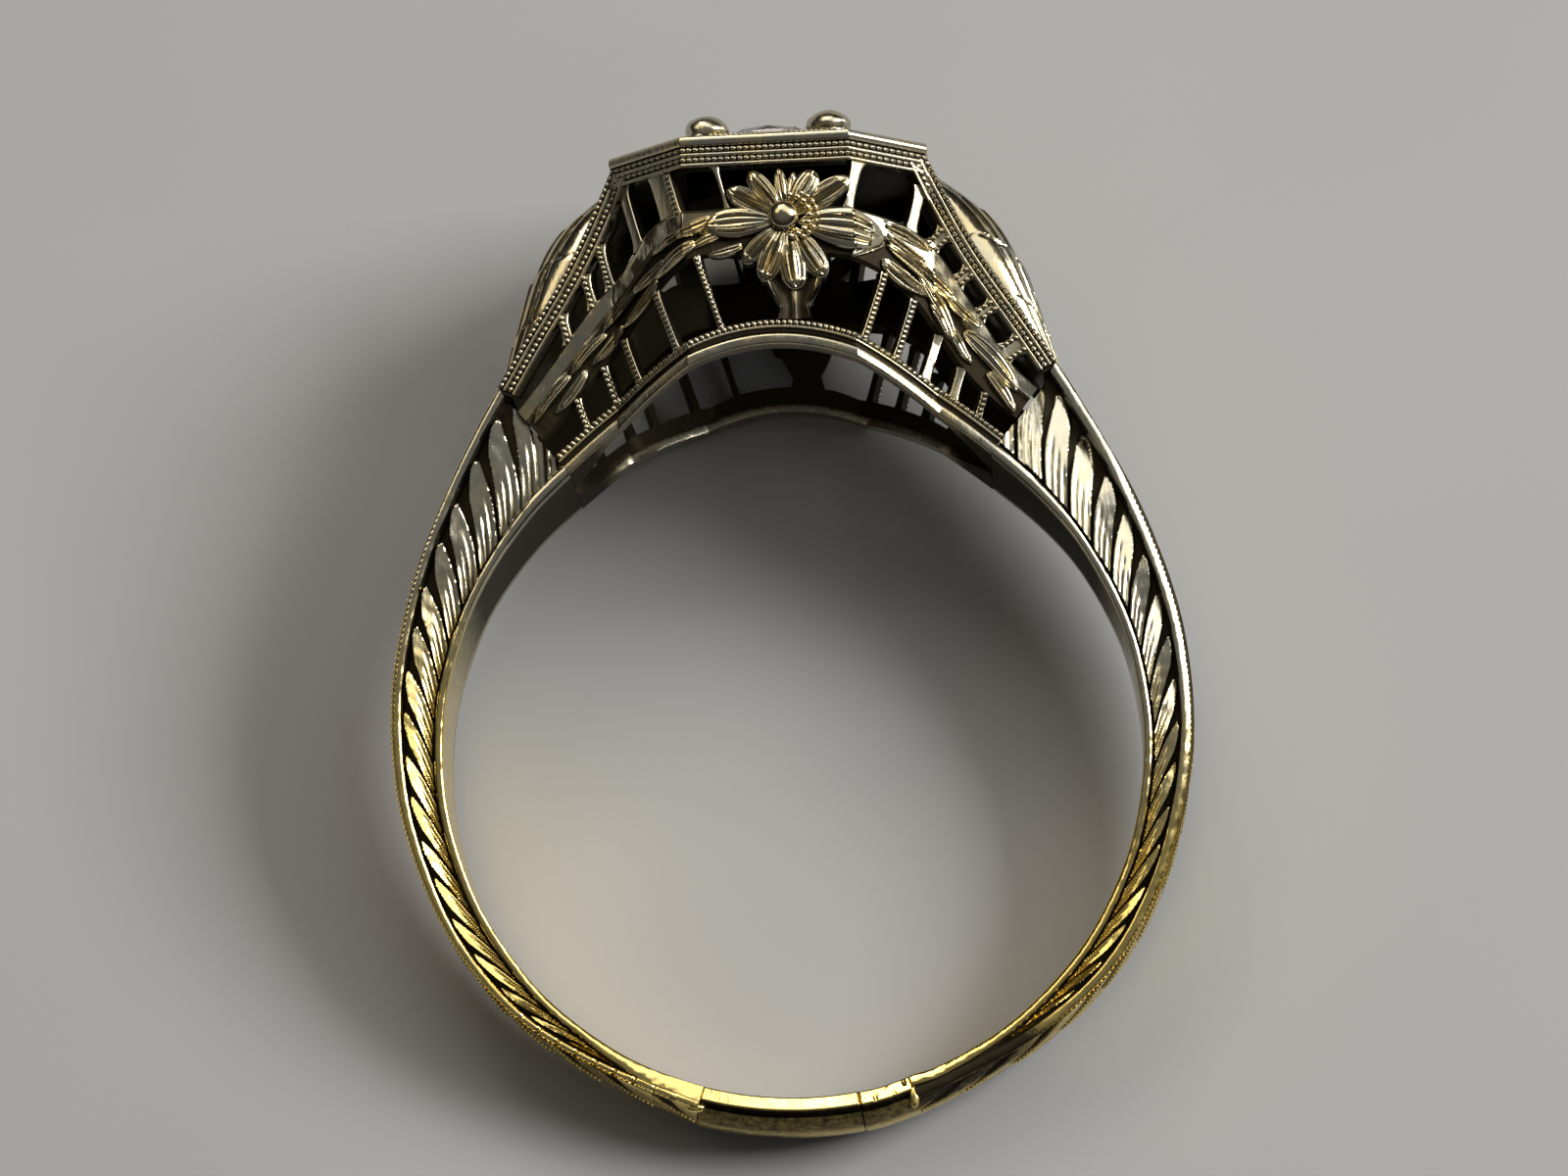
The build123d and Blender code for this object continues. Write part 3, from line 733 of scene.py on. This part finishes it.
def rails(side, name):
    piece = Piece()
    curve = arch(0, 700)
    section = np.array(slab(0, FINGER_RAIL - 0.02, 0.0, -0.55, 0.07))
    point = curve[:, None] + outward(curve)[:, None] * section[None, :, :1]
    angle = np.abs(bearing(curve))
    deep = 1 + 2.2 * smooth(angle, 26, SHOULDER)[:, None] ** 1.3 * (section[:, 1] < -0.3)
    wall = np.interp(np.abs(point[..., 0]), WALL_X, WALL_Z)
    height = side * (wall + section[:, 1] * deep)
    # painted shade: the flanks darken downwards and, on the finger side, towards the shoulders
    dark = np.clip(FLANKS + 0.15, 0, 1) + 0 * wall
    dark[:, :2] = 0.1 + 0.85 * smooth(angle, 24, 35)[:, None]
    piece.sweep(np.concatenate([point, height[..., None]], -1), dark)
    piece.build(f"finger_rail_{name}", "smooth", plain_gold)

    piece = Piece()
    low, high = FINGER_RAIL, FINGER_RAIL + BASE_RAIL
    # the flat under the beads is painted dark as shade
    ribbon(piece, arch(0, 500), slab(low, high, -0.12, -RAIL_DEPTH), side, recess=0.8)
    milgrain(piece, arch(high - 0.1, 900), 0.085, 0.14, side, height=-0.09)
    ribbon(piece, arch(0, 500), slab(high - 0.23, high - 0.17, -0.05, -0.3, 0.02), side)
    piece.build(f"base_rail_{name}", "milgrained", grain_gold)

    piece = Piece()
    # the flat under the beads is painted dark as shade
    ribbon(piece, top_line, slab(-0.5, 0.0, -0.09, -RAIL_DEPTH, 0.04), side, recess=0.75)
    for grains, low, high, top in ((-0.085, -0.255, -0.165, -0.015), (-0.325, -0.5, -0.41, -0.01)):
        milgrain(piece, shifted(top_line, grains), 0.055, 0.15, side, height=-0.06)
        ribbon(piece, top_line, slab(low, high, top, -0.3, 0.035), side)
    piece.build(f"top_rail_{name}", "milgrained", grain_gold)


def spans(x, y, lean, inside):
    """The ends of a bar through (x, y), where it leaves the part of the wall that inside allows."""
    t = np.linspace(-2.25, 2.25, 500)
    points = np.array((x, y)) + t[:, None] * np.array((np.sin(lean), np.cos(lean)))
    ok = inside(points)
    middle = np.argmin(np.where(ok, np.abs(t), 9))
    low = high = middle
    while low > 0 and ok[low - 1]:
        low -= 1
    while high < len(t) - 1 and ok[high + 1]:
        high += 1
    return points[low], points[high]


floor_line = arch(FINGER_RAIL + BASE_RAIL - 0.08, 400, HALF_GAP)


def curve_y(curves, x):
    return np.where(x < 0, np.interp(-x, *curves[-1].T), np.interp(x, *curves[1].T))


def in_lower(p):
    return (p[:, 1] > np.interp(p[:, 0], *floor_line.T)) & (p[:, 1] < curve_y(swag_low, p[:, 0]) + 0.08)


rail_edge = shifted(top_line, -0.45)
rail_edge = rail_edge[np.argsort(rail_edge[:, 0])]


def in_upper(p):
    top = np.interp(p[:, 0], *rail_edge.T)
    return (p[:, 1] > curve_y(swag_high, p[:, 0]) - 0.08) & (p[:, 1] < top)


def bar(piece, side, low, high, width, grains, flare=0.35):
    """A bar that widens at its ends, with rows of grains given as (offset, radius)."""
    curve = resample([low, high], 60)
    t = np.linspace(0, 1, 60)
    length = length_of(curve)
    ends = np.exp(-t * length / 0.12) + np.exp(-(1 - t) * length / 0.12)
    widen = 1 + flare * ends / max(width, 0.1) * 0.2
    section = slab(-width / 2, width / 2, -0.10, BAR_BOTTOM, 0.04)
    ribbon(piece, curve, section, side, widen=widen, recess=FLANKS + np.zeros((len(curve), 1)))
    for offset, radius in grains:
        milgrain(piece, shifted(curve, offset), radius, 0.125, side, height=-0.08)


LOWER_BARS = (-4.7, -4.0, -3.45, -2.5, -1.38, 2.4, 3.1, 3.75, 4.35, 4.9)
UPPER_BARS = (-5.1, -4.45, -4.0, -3.2, -2.35, -1.02, 2.0, 3.37)
SMOOTH_LOWER, SMOOTH_UPPER = (3.75, 4.35), (-3.2, -1.02, 2.0, 3.37)
WIDE_UPPER, THIN_UPPER = -2.35, -1.02
# the short slanting bars between the oval windows on the right: x, y, lean, width
OVAL_BARS = ((4.12, 11.95, 48, 0.30), (4.66, 11.02, 52, 0.24), (5.14, 10.18, 55, 0.24), (5.66, 9.2, 58, 0.42))


def bars(side, name):
    lower, upper = Piece(), Piece()
    for x in LOWER_BARS:
        lean = np.radians(18 if x > 0 else -18)
        low, high = spans(x, 10.35 - 0.1 * x * x, lean, in_lower)
        plain = x in SMOOTH_LOWER
        bar(lower, side, low, high, 0.2 if plain else 0.15, () if plain else ((0, 0.075),))
    for x in UPPER_BARS:
        lean = np.radians(14 if x > 0 else -14)
        low, high = spans(x, 12.8 - 0.11 * (abs(x) - 0.5) ** 2, lean, in_upper)
        if x == WIDE_UPPER:
            bar(upper, side, low, high, 0.5, ((-0.17, 0.075),))
        else:
            width = 0.1 if x == THIN_UPPER else 0.22
            bar(upper, side, low, high, width, () if x in SMOOTH_UPPER else ((0, 0.08),), flare=0.9)
    for x, y, lean, width in OVAL_BARS:
        low, high = spans(x, y, np.radians(lean), in_upper)
        bar(upper, side, low, high, width, ((0.4 * width, 0.07), (-0.4 * width, 0.07)), flare=1.6)
    lower.build(f"lower_bars_{name}", "milgrained", grain_gold)
    upper.build(f"upper_bars_{name}", "milgrained", grain_gold)


# the leaves of each swag: root, tip, half width, height
SWAG_BLADES = {
    -1: (
        ((-0.9, 12.15), (-1.62, 11.8), 0.14, 0.20), ((-1.3, 12.2), (-2.3, 11.8), 0.17, 0.20),
        ((-2.0, 11.9), (-2.8, 11.55), 0.13, 0.17), ((-0.6, 11.5), (-1.45, 11.3), 0.13, 0.16),
        ((-1.7, 11.62), (-2.75, 10.95), 0.17, 0.18), ((-2.5, 11.35), (-3.4, 10.75), 0.14, 0.15),
        ((-1.1, 11.8), (-1.8, 11.5), 0.13, 0.13), ((-2.7, 10.95), (-3.6, 10.0), 0.12, 0.13),
        ((-3.2, 10.85), (-4.1, 10.0), 0.13, 0.13), ((-3.6, 10.1), (-4.4, 9.2), 0.12, 0.13),
        ((-4.0, 9.95), (-4.9, 9.0), 0.13, 0.13), ((-4.5, 9.1), (-5.3, 8.1), 0.15, 0.13),
        ((-4.9, 9.0), (-5.8, 7.9), 0.14, 0.13),
    ),
    1: (
        ((2.7, 12.0), (3.8, 11.5), 0.17, 0.22), ((2.75, 11.8), (3.75, 11.2), 0.15, 0.20),
        ((2.8, 11.55), (4.4, 10.2), 0.19, 0.20), ((2.65, 11.15), (3.75, 10.45), 0.2, 0.18),
        ((3.5, 10.95), (4.3, 9.2), 0.16, 0.17), ((4.1, 10.5), (5.0, 9.6), 0.14, 0.15),
        ((3.75, 10.3), (4.15, 9.4), 0.13, 0.14), ((4.2, 9.75), (4.65, 8.8), 0.13, 0.14),
        ((4.5, 9.6), (5.7, 8.1), 0.24, 0.17), ((2.75, 11.6), (1.95, 11.12), 0.16, 0.14),
        ((5.0, 8.6), (5.6, 7.6), 0.16, 0.14),
    ),
}


def swag(side, side_name, hand, hand_name):
    piece = Piece()
    low, high = (within(mirrored(c[hand], hand)) for c in (swag_low, swag_high))
    low, high = resample(low, 220), resample(high, 220)
    q = np.linspace(0, 1, 15)[None, :]
    x, y = (low[:, k, None] * (1 - q) + high[:, k, None] * q for k in (0, 1))
    strap = smooth(q, 0.56, 0.64)
    h = -0.10 + 0.11 * strap - 0.09 * smooth(np.abs(q - 0.5), 0.44, 0.5) + 0.012 * grain(x * 9, y * 9, 1.0)
    # painted shade below the strap and along the upper edge
    dark = np.clip(0.85 * (1 - strap) + (q > 0.99), 0, 1) + 0 * x
    relief(piece, side, x, y, h, dark, x[:, ::-4], y[:, ::-4])
    for k, (root, tip, wide, rise) in enumerate(SWAG_BLADES[hand]):
        blade(piece, side, root, tip, wide, rise, bend=0.05 * hand * (-1) ** k, base=-0.07, sink=0.2, veins=3)
    name = f"leaf_swag_{side_name}_{hand_name}"
    piece.build(name, "veined", leaf_gold)


# each petal: tip, half width, height, number of grooves each side
PETALS = (
    ((-0.40, 13.25), 0.27, 0.20, 3), ((-0.92, 12.85), 0.30, 0.17, 4), ((0.30, 13.3), 0.17, 0.15, 2),
    ((0.66, 13.2), 0.13, 0.13, 2), ((1.15, 13.2), 0.33, 0.22, 1), ((1.95, 13.0), 0.30, 0.15, 4),
    ((2.68, 11.62), 0.50, 0.17, 5), ((1.30, 10.62), 0.33, 0.20, 3), ((0.62, 10.33), 0.36, 0.22, 3),
    ((-0.16, 10.58), 0.33, 0.21, 3), ((-0.62, 11.05), 0.26, 0.17, 4), ((-1.45, 12.0), 0.36, 0.16, 5),
)


def flower(side, name):
    piece = Piece()
    for k, (tip, wide, rise, veins) in enumerate(PETALS):
        tip = np.array(tip)
        root = FLOWER + (tip - FLOWER) * 0.12
        blade(piece, side, root, tip, wide, rise, base=-0.02 + 0.004 * k, sink=0.35, veins=veins + 1,
              blunt=1.35, fall=0.25)
    piece.build(f"flower_{name}", "petals", leaf_gold)

    piece = Piece()
    v = np.linspace(0, np.pi / 2, 14)[:, None]
    u = full_turn(40)[None]
    r = 0.36 * np.sin(v[::-1]) + 0 * u
    h = 0.18 + 0.27 * np.cos(v[::-1]) + 0 * u
    r = np.concatenate([r[:1] * 0.95, r], 0)
    h = np.concatenate([h[:1] - 0.2, h], 0)
    x, y = FLOWER[0] - 0.07 + r * np.cos(u), FLOWER[1] + 0.08 + r * np.sin(u)
    piece.sweep(on_wall(x, y, h, side))
    for k, angle in enumerate(np.radians(np.arange(-84, 100, 21))):
        centre = FLOWER + (0.04, 0.06) + 0.5 * np.array((np.cos(angle), np.sin(angle)))
        z = side * (HEAD_HALF + 0.24)
        blob(piece, (*centre, z - side * 0.04), (0.085, 0.085, 0.075), seed=k, turns=14, rings=9)
        centre = FLOWER + (0.16, 0.06) + 0.56 * np.array((np.cos(angle * 0.8), np.sin(angle * 0.8)))
        blob(piece, (*centre, z - side * 0.02), (0.06, 0.06, 0.06), seed=k, turns=12, rings=8)
    piece.build(f"flower_boss_{name}", "beaded", leaf_gold)

    piece = Piece()
    t = np.linspace(0, 1, 60)[:, None]
    q = np.linspace(-1, 1, 25)[None, :]
    wide = np.interp(t, (0, 0.25, 0.6, 0.85, 1), (0.42, 0.34, 0.56, 0.68, 0.70))
    x = 0.55 + q * wide
    y = 9.68 + 1.15 * t + 0 * q
    edge = smooth(np.abs(q), 0.72, 0.9)
    ridge = np.exp(-((q / 0.08) ** 2)) * smooth(t, 0.95, 0.6)
    h = -0.07 + 0.16 * edge * np.sqrt(np.clip(1 - ((np.abs(q) - 0.82) / 0.2) ** 2, 0, 1)) + 0.05 * ridge
    h = h + 0.02 * np.cos(q * 9) * (1 - edge)
    h = np.where(np.abs(q) > 0.99, -0.15, h)
    # painted shade inside the calyx, left out along its raised edges and middle ridge
    dark = np.clip(0.8 - edge - ridge, 0, 1) + 0 * x
    relief(piece, side, x, y, h, dark, x[:, ::-6], y[:, ::-6])
    piece.build(f"calyx_{name}", "tulip", leaf_gold)


for side_name, side in (("near", 1), ("far", -1)):
    rails(side, side_name)
    bars(side, side_name)
    flower(side, side_name)
    for hand_name, hand in (("left", -1), ("right", 1)):
        swag(side, side_name, hand, hand_name)

# ---- top: plate, setting, stone and beads ----


def polygon_reach(angle, edges):
    """How far a convex outline of (normal x, normal z, distance) reaches at each angle."""
    pull = [(nx * np.cos(angle) + nz * np.sin(angle)) / d for nx, nz, d in edges]
    return 1 / np.max(pull, axis=0)


def outline(half_x, half_z, diagonal, nx, nz):
    flat = [(sx, 0, half_x) for sx in (-1, 1)] + [(0, sz, half_z) for sz in (-1, 1)]
    return flat + [(sx * nx, sz * nz, diagonal) for sx in (-1, 1) for sz in (-1, 1)]


diagonal = unit(np.array((HEAD_HALF - 2.25, END_X - 2.0)))
OCTAGON = outline(END_X, HEAD_HALF, diagonal @ (END_X, 2.25), *diagonal)
BOX = outline(1.98, 1.98, (2 * 1.98 - 0.55) / np.sqrt(2), np.sqrt(0.5), np.sqrt(0.5))
TURN = full_turn(1440)
STONE_R = 1.61


def around(reach, height):
    """Ring-frame points from (turn, section) arrays of reach and height."""
    a = TURN[:, None]
    return np.stack([reach * np.cos(a), height + 0 * reach, reach * np.sin(a)], -1)


def bead_ring(piece, edges, inset, height, radius, pitch):
    """Milgrain round an outline of the top."""
    reach = polygon_reach(TURN, edges)
    scale = 1 - inset / reach.mean()
    loop = around(reach[:, None] * scale, height)[:, 0]
    path, wave = grain_row(np.vstack([loop, loop[:1]]), pitch)
    path, wave = path[:-1], wave[:-1]
    along = unit(np.roll(path, -1, 0) - np.roll(path, 1, 0))
    first = unit(np.cross(along, (0.1, 1.0, 0.05)))
    second = np.cross(along, first)
    a = full_turn(GRAIN_SIDES)
    spoke = first[:, None] * np.cos(a)[None, :, None] + second[:, None] * np.sin(a)[None, :, None]
    size = radius * (0.5 + 0.5 * wave**0.6)
    # painted shade and patina, darkest in the gaps between the beads
    piece.sweep(path[:, None] + spoke * size[:, None, None], 0.9 * (1 - wave**0.5)[:, None], ring=True)


def top_plate():
    piece = Piece()
    outer, inner = polygon_reach(TURN, OCTAGON)[:, None], polygon_reach(TURN, BOX)[:, None]
    t = np.linspace(0, 1, 44)[None, :]
    reach = outer - 0.06 + (inner - 0.02 - outer + 0.06) * t
    gap = outer - reach
    rays = np.abs(np.sin(TURN * 30))[:, None] ** 0.7
    inset = smooth(gap, 0.34, 0.42) * smooth(reach - inner, 0.12, 0.2)
    depth = inset * (0.035 + 0.05 * rays) + 0.05 * np.exp(-(((gap - 0.3) / 0.05) ** 2))
    top = 14.2 - depth
    a = np.linspace(-np.pi / 2, np.pi / 2, 9)[None, 1:-1]
    nose = outer - 0.06 + 0.06 * np.cos(a)
    nose_y = 14.075 + 0.125 * np.sin(a) + 0 * nose
    floor_r = np.concatenate([inner, outer - 0.06], 1)
    reach_all = np.concatenate([floor_r, nose, reach], 1)
    y_all = np.concatenate([np.full(floor_r.shape, 13.95), nose_y, top], 1)
    # black underside as painted shade; painted shade and patina in the engraved rays and groove
    dark = np.concatenate([1 + 0 * floor_r, 0 * nose, smooth(depth, 0.03, 0.08)], 1)
    piece.sweep(around(reach_all, y_all), dark, ring=True)
    bead_ring(piece, OCTAGON, 0.22, 14.19, 0.06, 0.125)
    piece.build("top_plate", "engraved", white_gold)


def setting_box():
    piece = Piece()
    reach = polygon_reach(TURN, BOX)[:, None]
    # square outside, round seat inside, and rows between them over the rim
    section = ((0, 13.2), (0, 14.15), (0, 14.22), (-0.03, 14.33), (-0.03, 14.37), (0, 14.4), (0, 14.66),
               (-0.03, 14.72), (-0.08, 14.74))
    seat = ((1.70, 14.72), (1.645, 14.68), (1.64, 14.58), (1.32, 14.33), (1.30, 14.28), (1.30, 13.25),
            (1.34, 13.2))
    rows = [(reach + d, y) for d, y in section]
    for k in (0.25, 0.5, 0.75):
        rows.append(((reach - 0.08) * (1 - k) + 1.70 * k, 14.74 - 0.05 * np.sin(np.pi * k)))
    rows += [(r + 0 * reach, y) for r, y in seat]
    radius = np.concatenate([r for r, _ in rows], 1)
    height = np.stack([np.full(len(TURN), y) for _, y in rows], 1)
    # painted shade: black low on the outside, dark in the groove and down the seat
    dark = np.array([1, 1, 0, 0.8, 0.8, 0, 0, 0, 0] + [0.1] * 3 + [0, 0.3, 0.8, 1, 1, 1, 1])[None, :]
    piece.sweep(around(radius, height), dark + 0 * radius, ring=True)
    bead_ring(piece, BOX, 0.07, 14.73, 0.055, 0.12)
    piece.build("setting_box", "bright_cut", white_gold)


def corner_beads():
    piece = Piece()
    for sx in (-1, 1):
        for sz in (-1, 1):
            bead, foot = (sx * 1.45, 14.95, sz * 1.45), (sx * 1.62, 14.75, sz * 1.62)
            blob(piece, bead, (0.53, 0.37, 0.53), seed=sx + 2.3 * sz, turns=56, rings=36)
            blob(piece, foot, (0.3, 0.22, 0.3), seed=sx - sz, turns=24)
    piece.build("corner_beads", "raised", plain_gold)


def stone():
    """An old European cut: small table, high crown, open culet."""
    eight, half = np.arange(8) * np.pi / 4, np.pi / 8

    def circle(radius, height, angles):
        return [(radius * np.cos(a), height, radius * np.sin(a)) for a in angles]

    table = circle(0.88, 15.21, eight)
    crown = circle(1.28, 14.97, eight + half)
    girdle_top, girdle_low = (circle(STONE_R, y, np.arange(16) * half) for y in (14.685, 14.60))
    lower = circle(1.02, 14.115, eight + half)
    culet = circle(0.13, 13.41, eight)
    points = np.array(table + crown + girdle_top + girdle_low + lower + culet)
    t, c, g, b, w, u = 0, 8, 16, 32, 48, 56
    faces = [list(range(8)), list(range(u, u + 8))]
    for k in range(8):
        n, before = (k + 1) % 8, (k - 1) % 8
        corner, mid, after = 2 * k, 2 * k + 1, (2 * k + 2) % 16
        faces.append([t + k, t + n, c + k])
        faces.append([t + k, c + k, g + corner, c + before])
        faces += [[c + k, g + corner, g + mid], [c + k, g + mid, g + after]]
        faces += [[g + corner, b + corner, b + mid, g + mid], [g + mid, b + mid, b + after, g + after]]
        faces += [[w + k, b + corner, b + mid], [w + k, b + mid, b + after]]
        faces.append([w + k, b + corner, w + before, u + k])
        faces.append([u + k, u + n, w + k])
    mesh = bpy.data.meshes.new("centre_stone_old_cut")
    mesh.from_pydata(to_world(points).tolist(), [], faces)
    mesh.update()
    shell = bmesh.new()
    shell.from_mesh(mesh)
    bmesh.ops.recalc_face_normals(shell, faces=shell.faces)
    shell.to_mesh(mesh)
    shell.free()
    hand_in(mesh, pale_stone(), "centre_stone")


def pale_stone():
    """Clear, faintly violet stone with a little cloudiness."""
    material, tree, bsdf, place = new_material("pale_stone")
    bsdf.inputs["Transmission Weight"].default_value = 1.0
    bsdf.inputs["IOR"].default_value = 1.9
    cloud = noise(tree, place, 700.0, 3.0)
    tree.links.new(blend(tree, cloud, (0.90, 0.86, 0.98), (0.97, 0.95, 1.0)), bsdf.inputs["Base Color"])
    tree.links.new(ranged(tree, cloud, 0.3, 0.7, 0.0, 0.05), bsdf.inputs["Roughness"])
    return material


top_plate()
setting_box()
corner_beads()
stone()

# ---- shoulders ----


PLATE_RIM = 0.12
shoulder_slope = slope[bearing(slope) <= SHOULDER]


def shoulder_plate(hand, name):
    """The engraved strip between the two top rails."""
    piece = Piece()
    curve = resample(shoulder_slope, 260)
    out = outward(curve)
    across = np.linspace(-1, 1, 61)[None, :]
    half = (np.interp(curve[:, 0], WALL_X, WALL_Z) - 0.45)[:, None]
    z = half * across
    s = np.linspace(0, length_of(curve), len(curve))[:, None]
    c = (1 - np.abs(across)) * half
    depth, dark = wheat(s, half - 0.15 - c, half - 0.3, PLATE_PITCH, 0.16, lean=1.3)
    on_rim = c < PLATE_RIM
    depth, dark = np.where(on_rim, rim(2 * c / PLATE_RIM - 1), depth), np.where(on_rim, 0.0, dark)
    under = np.linspace(1, -1, 9)[None, :] * half
    x, y = (curve[:, k, None] - out[:, k, None] * depth for k in (0, 1))
    ux, uy = (curve[:, k, None] - out[:, k, None] * 0.4 + 0 * under for k in (0, 1))
    points = np.concatenate([np.stack([x, y, z], -1), np.stack([ux, uy, under], -1)], 1) * (hand, 1, 1)
    # the underside is painted half dark as shade
    piece.sweep(points, np.concatenate([dark, 0.5 + 0 * under], 1))
    piece.build(name, "engraved", leaf_gold)


def shoulder_leaf(hand, name):
    """The domed leaf on a shoulder plate, with a midrib and overlapping stripes."""
    piece = Piece()
    base = resample(shoulder_slope, 200)
    crest = resample(spline(LEAF_HIGH, 300), 200)
    p = np.linspace(0, 1, 200)[:, None]
    q = np.linspace(-1, 1, 71)[None, :]
    spread = 0.95 * np.sin(np.pi * (0.04 + 0.93 * p) ** 0.9) ** 0.75
    dome = np.sqrt(np.clip(1 - q**2, 0, 1))
    lane = np.abs(q)
    stripes = 0.5 + 0.5 * np.cos(2 * np.pi * (lane * 3.2 - 0.9 * p))
    overlap = np.mod(p * 3.4 + lane * 0.9, 1)
    cut = 0.26 * stripes**4 + 0.30 * smooth(overlap, 0.12, 0.0) * smooth(lane, 0.15, 0.3)
    cut = cut + 0.16 * overlap + 0.30 * np.exp(-((q / 0.05) ** 2))  # and the midrib
    lift = dome * (1 - cut * 0.55)
    x, y = (base[:, k, None] + (crest - base)[:, k, None] * lift for k in (0, 1))
    z = spread * q
    under = np.linspace(1, -1, 7)[None, :] * spread
    ux, uy = base[:, :1] - 0.15 + 0 * under, base[:, 1:] - 0.08 + 0 * under
    top, below = np.stack([x, y, z + 0 * x], -1), np.stack([ux, uy, under], -1)
    points = np.concatenate([top, below], 1) * (hand, 1, 1)
    # painted shade and patina in the cuts and the midrib; the underside painted black as shade
    dark = smooth(cut, 0.2, 0.45) * 0.9
    piece.sweep(points, np.concatenate([dark, 1 + 0 * under], 1))
    piece.build(name, "domed", leaf_gold)


for hand_name, hand in (("left", -1), ("right", 1)):
    shoulder_plate(hand, f"shoulder_plate_{hand_name}")
    shoulder_leaf(hand, f"shoulder_leaf_{hand_name}")

# ---- table, camera and light ----


def floor_material():
    material, tree, bsdf, place = new_material("pale_table")
    bsdf.inputs["Roughness"].default_value = 0.85
    bsdf.inputs["Specular IOR Level"].default_value = 0.2
    tint = blend(tree, noise(tree, place, 60.0, 4.0), (0.33, 0.33, 0.335), (0.37, 0.37, 0.37))
    tree.links.new(tint, bsdf.inputs["Base Color"])
    return material


floor_z = cad_low.z - 0.01 * MM
corners = [(-0.6, -0.6), (0.6, -0.6), (0.6, 0.6), (-0.6, 0.6)]
floor_mesh = bpy.data.meshes.new("table_top")
floor_mesh.from_pydata([(x, y, floor_z) for x, y in corners], [], [(0, 1, 2, 3)])
floor_mesh.materials.append(floor_material())
floor = placed("table_top", floor_mesh)

# the camera's place and aim in the ring's frame, in mm, its roll in degrees and its lens in mm
EYE, AIM, ROLL = (5.1207, -24.3415, 147.9764), (-0.1003, 4.0383, 0.0), 2.302
SENSOR, LENS = 36.0, 145.159
eye, aim = (Vector(to_world(np.array(point))) for point in (EYE, AIM))
upright = Vector(to_world(np.array((0.0, 1.0, 0.0))))
back = (eye - aim).normalized()
right = upright.cross(back).normalized()
right.rotate(Quaternion(back, np.radians(-ROLL)))
camera_data = bpy.data.cameras.new("camera")
camera_data.sensor_width, camera_data.lens = SENSOR, LENS
camera_data.clip_start, camera_data.clip_end = 0.005, 5.0
camera = placed("camera", camera_data)
camera.matrix_world = Matrix.Translation(eye) @ Matrix((right, back.cross(right), back)).transposed().to_4x4()
bpy.context.scene.camera = camera

# soft boxes that face the ring: place and size in metres, power in watts, colour
LIGHTS = {
    "window_right": ((0.390, 0.085, 0.300), (0.22, 0.20), 2.7, (1.0, 0.99, 0.96)),
    "window_low": ((0.450, 0.120, 0.050), (0.14, 0.07), 0.26, (1.0, 1.0, 0.97)),
    "window_back": ((-0.060, 0.390, 0.330), (0.26, 0.08), 0.35, (1.0, 0.88, 0.70)),
    "sky_panel": ((0.132, 0.229, 0.424), (0.84, 0.28), 1.05, (1.0, 0.99, 0.97)),
    "warm_panel": ((-0.215, 0.215, 0.395), (0.34, 0.17), 0.30, (1.0, 0.86, 0.62)),
}
for name, (place, size, power, colour) in LIGHTS.items():
    data = bpy.data.lights.new(name, "AREA")
    data.shape, (data.size, data.size_y) = "RECTANGLE", size
    data.energy, data.color = power, colour
    light = placed(name, data)
    light.location = Vector(place)
    light.rotation_mode = "QUATERNION"
    light.rotation_quaternion = (-Vector(place)).to_track_quat("-Z", "Y")

# a dim room, darker towards the horizon
world = bpy.data.worlds.new("studio")
world.use_nodes = True
tree = world.node_tree
split = node(tree, "ShaderNodeSeparateXYZ", in_0=node(tree, "ShaderNodeTexCoord").outputs["Generated"])
ramp = node(tree, "ShaderNodeValToRGB", in_0=split.outputs["Z"])
stops = (0.35, (0.10, 0.09, 0.08, 1)), (0.95, (0.75, 0.76, 0.78, 1))
for element, (position, colour) in zip(ramp.color_ramp.elements, stops):
    element.position, element.color = position, colour
tree.nodes["Background"].inputs["Strength"].default_value = 0.20
tree.links.new(ramp.outputs[0], tree.nodes["Background"].inputs["Color"])
bpy.context.scene.world = world
bpy.context.scene.view_settings.view_transform = "Standard"
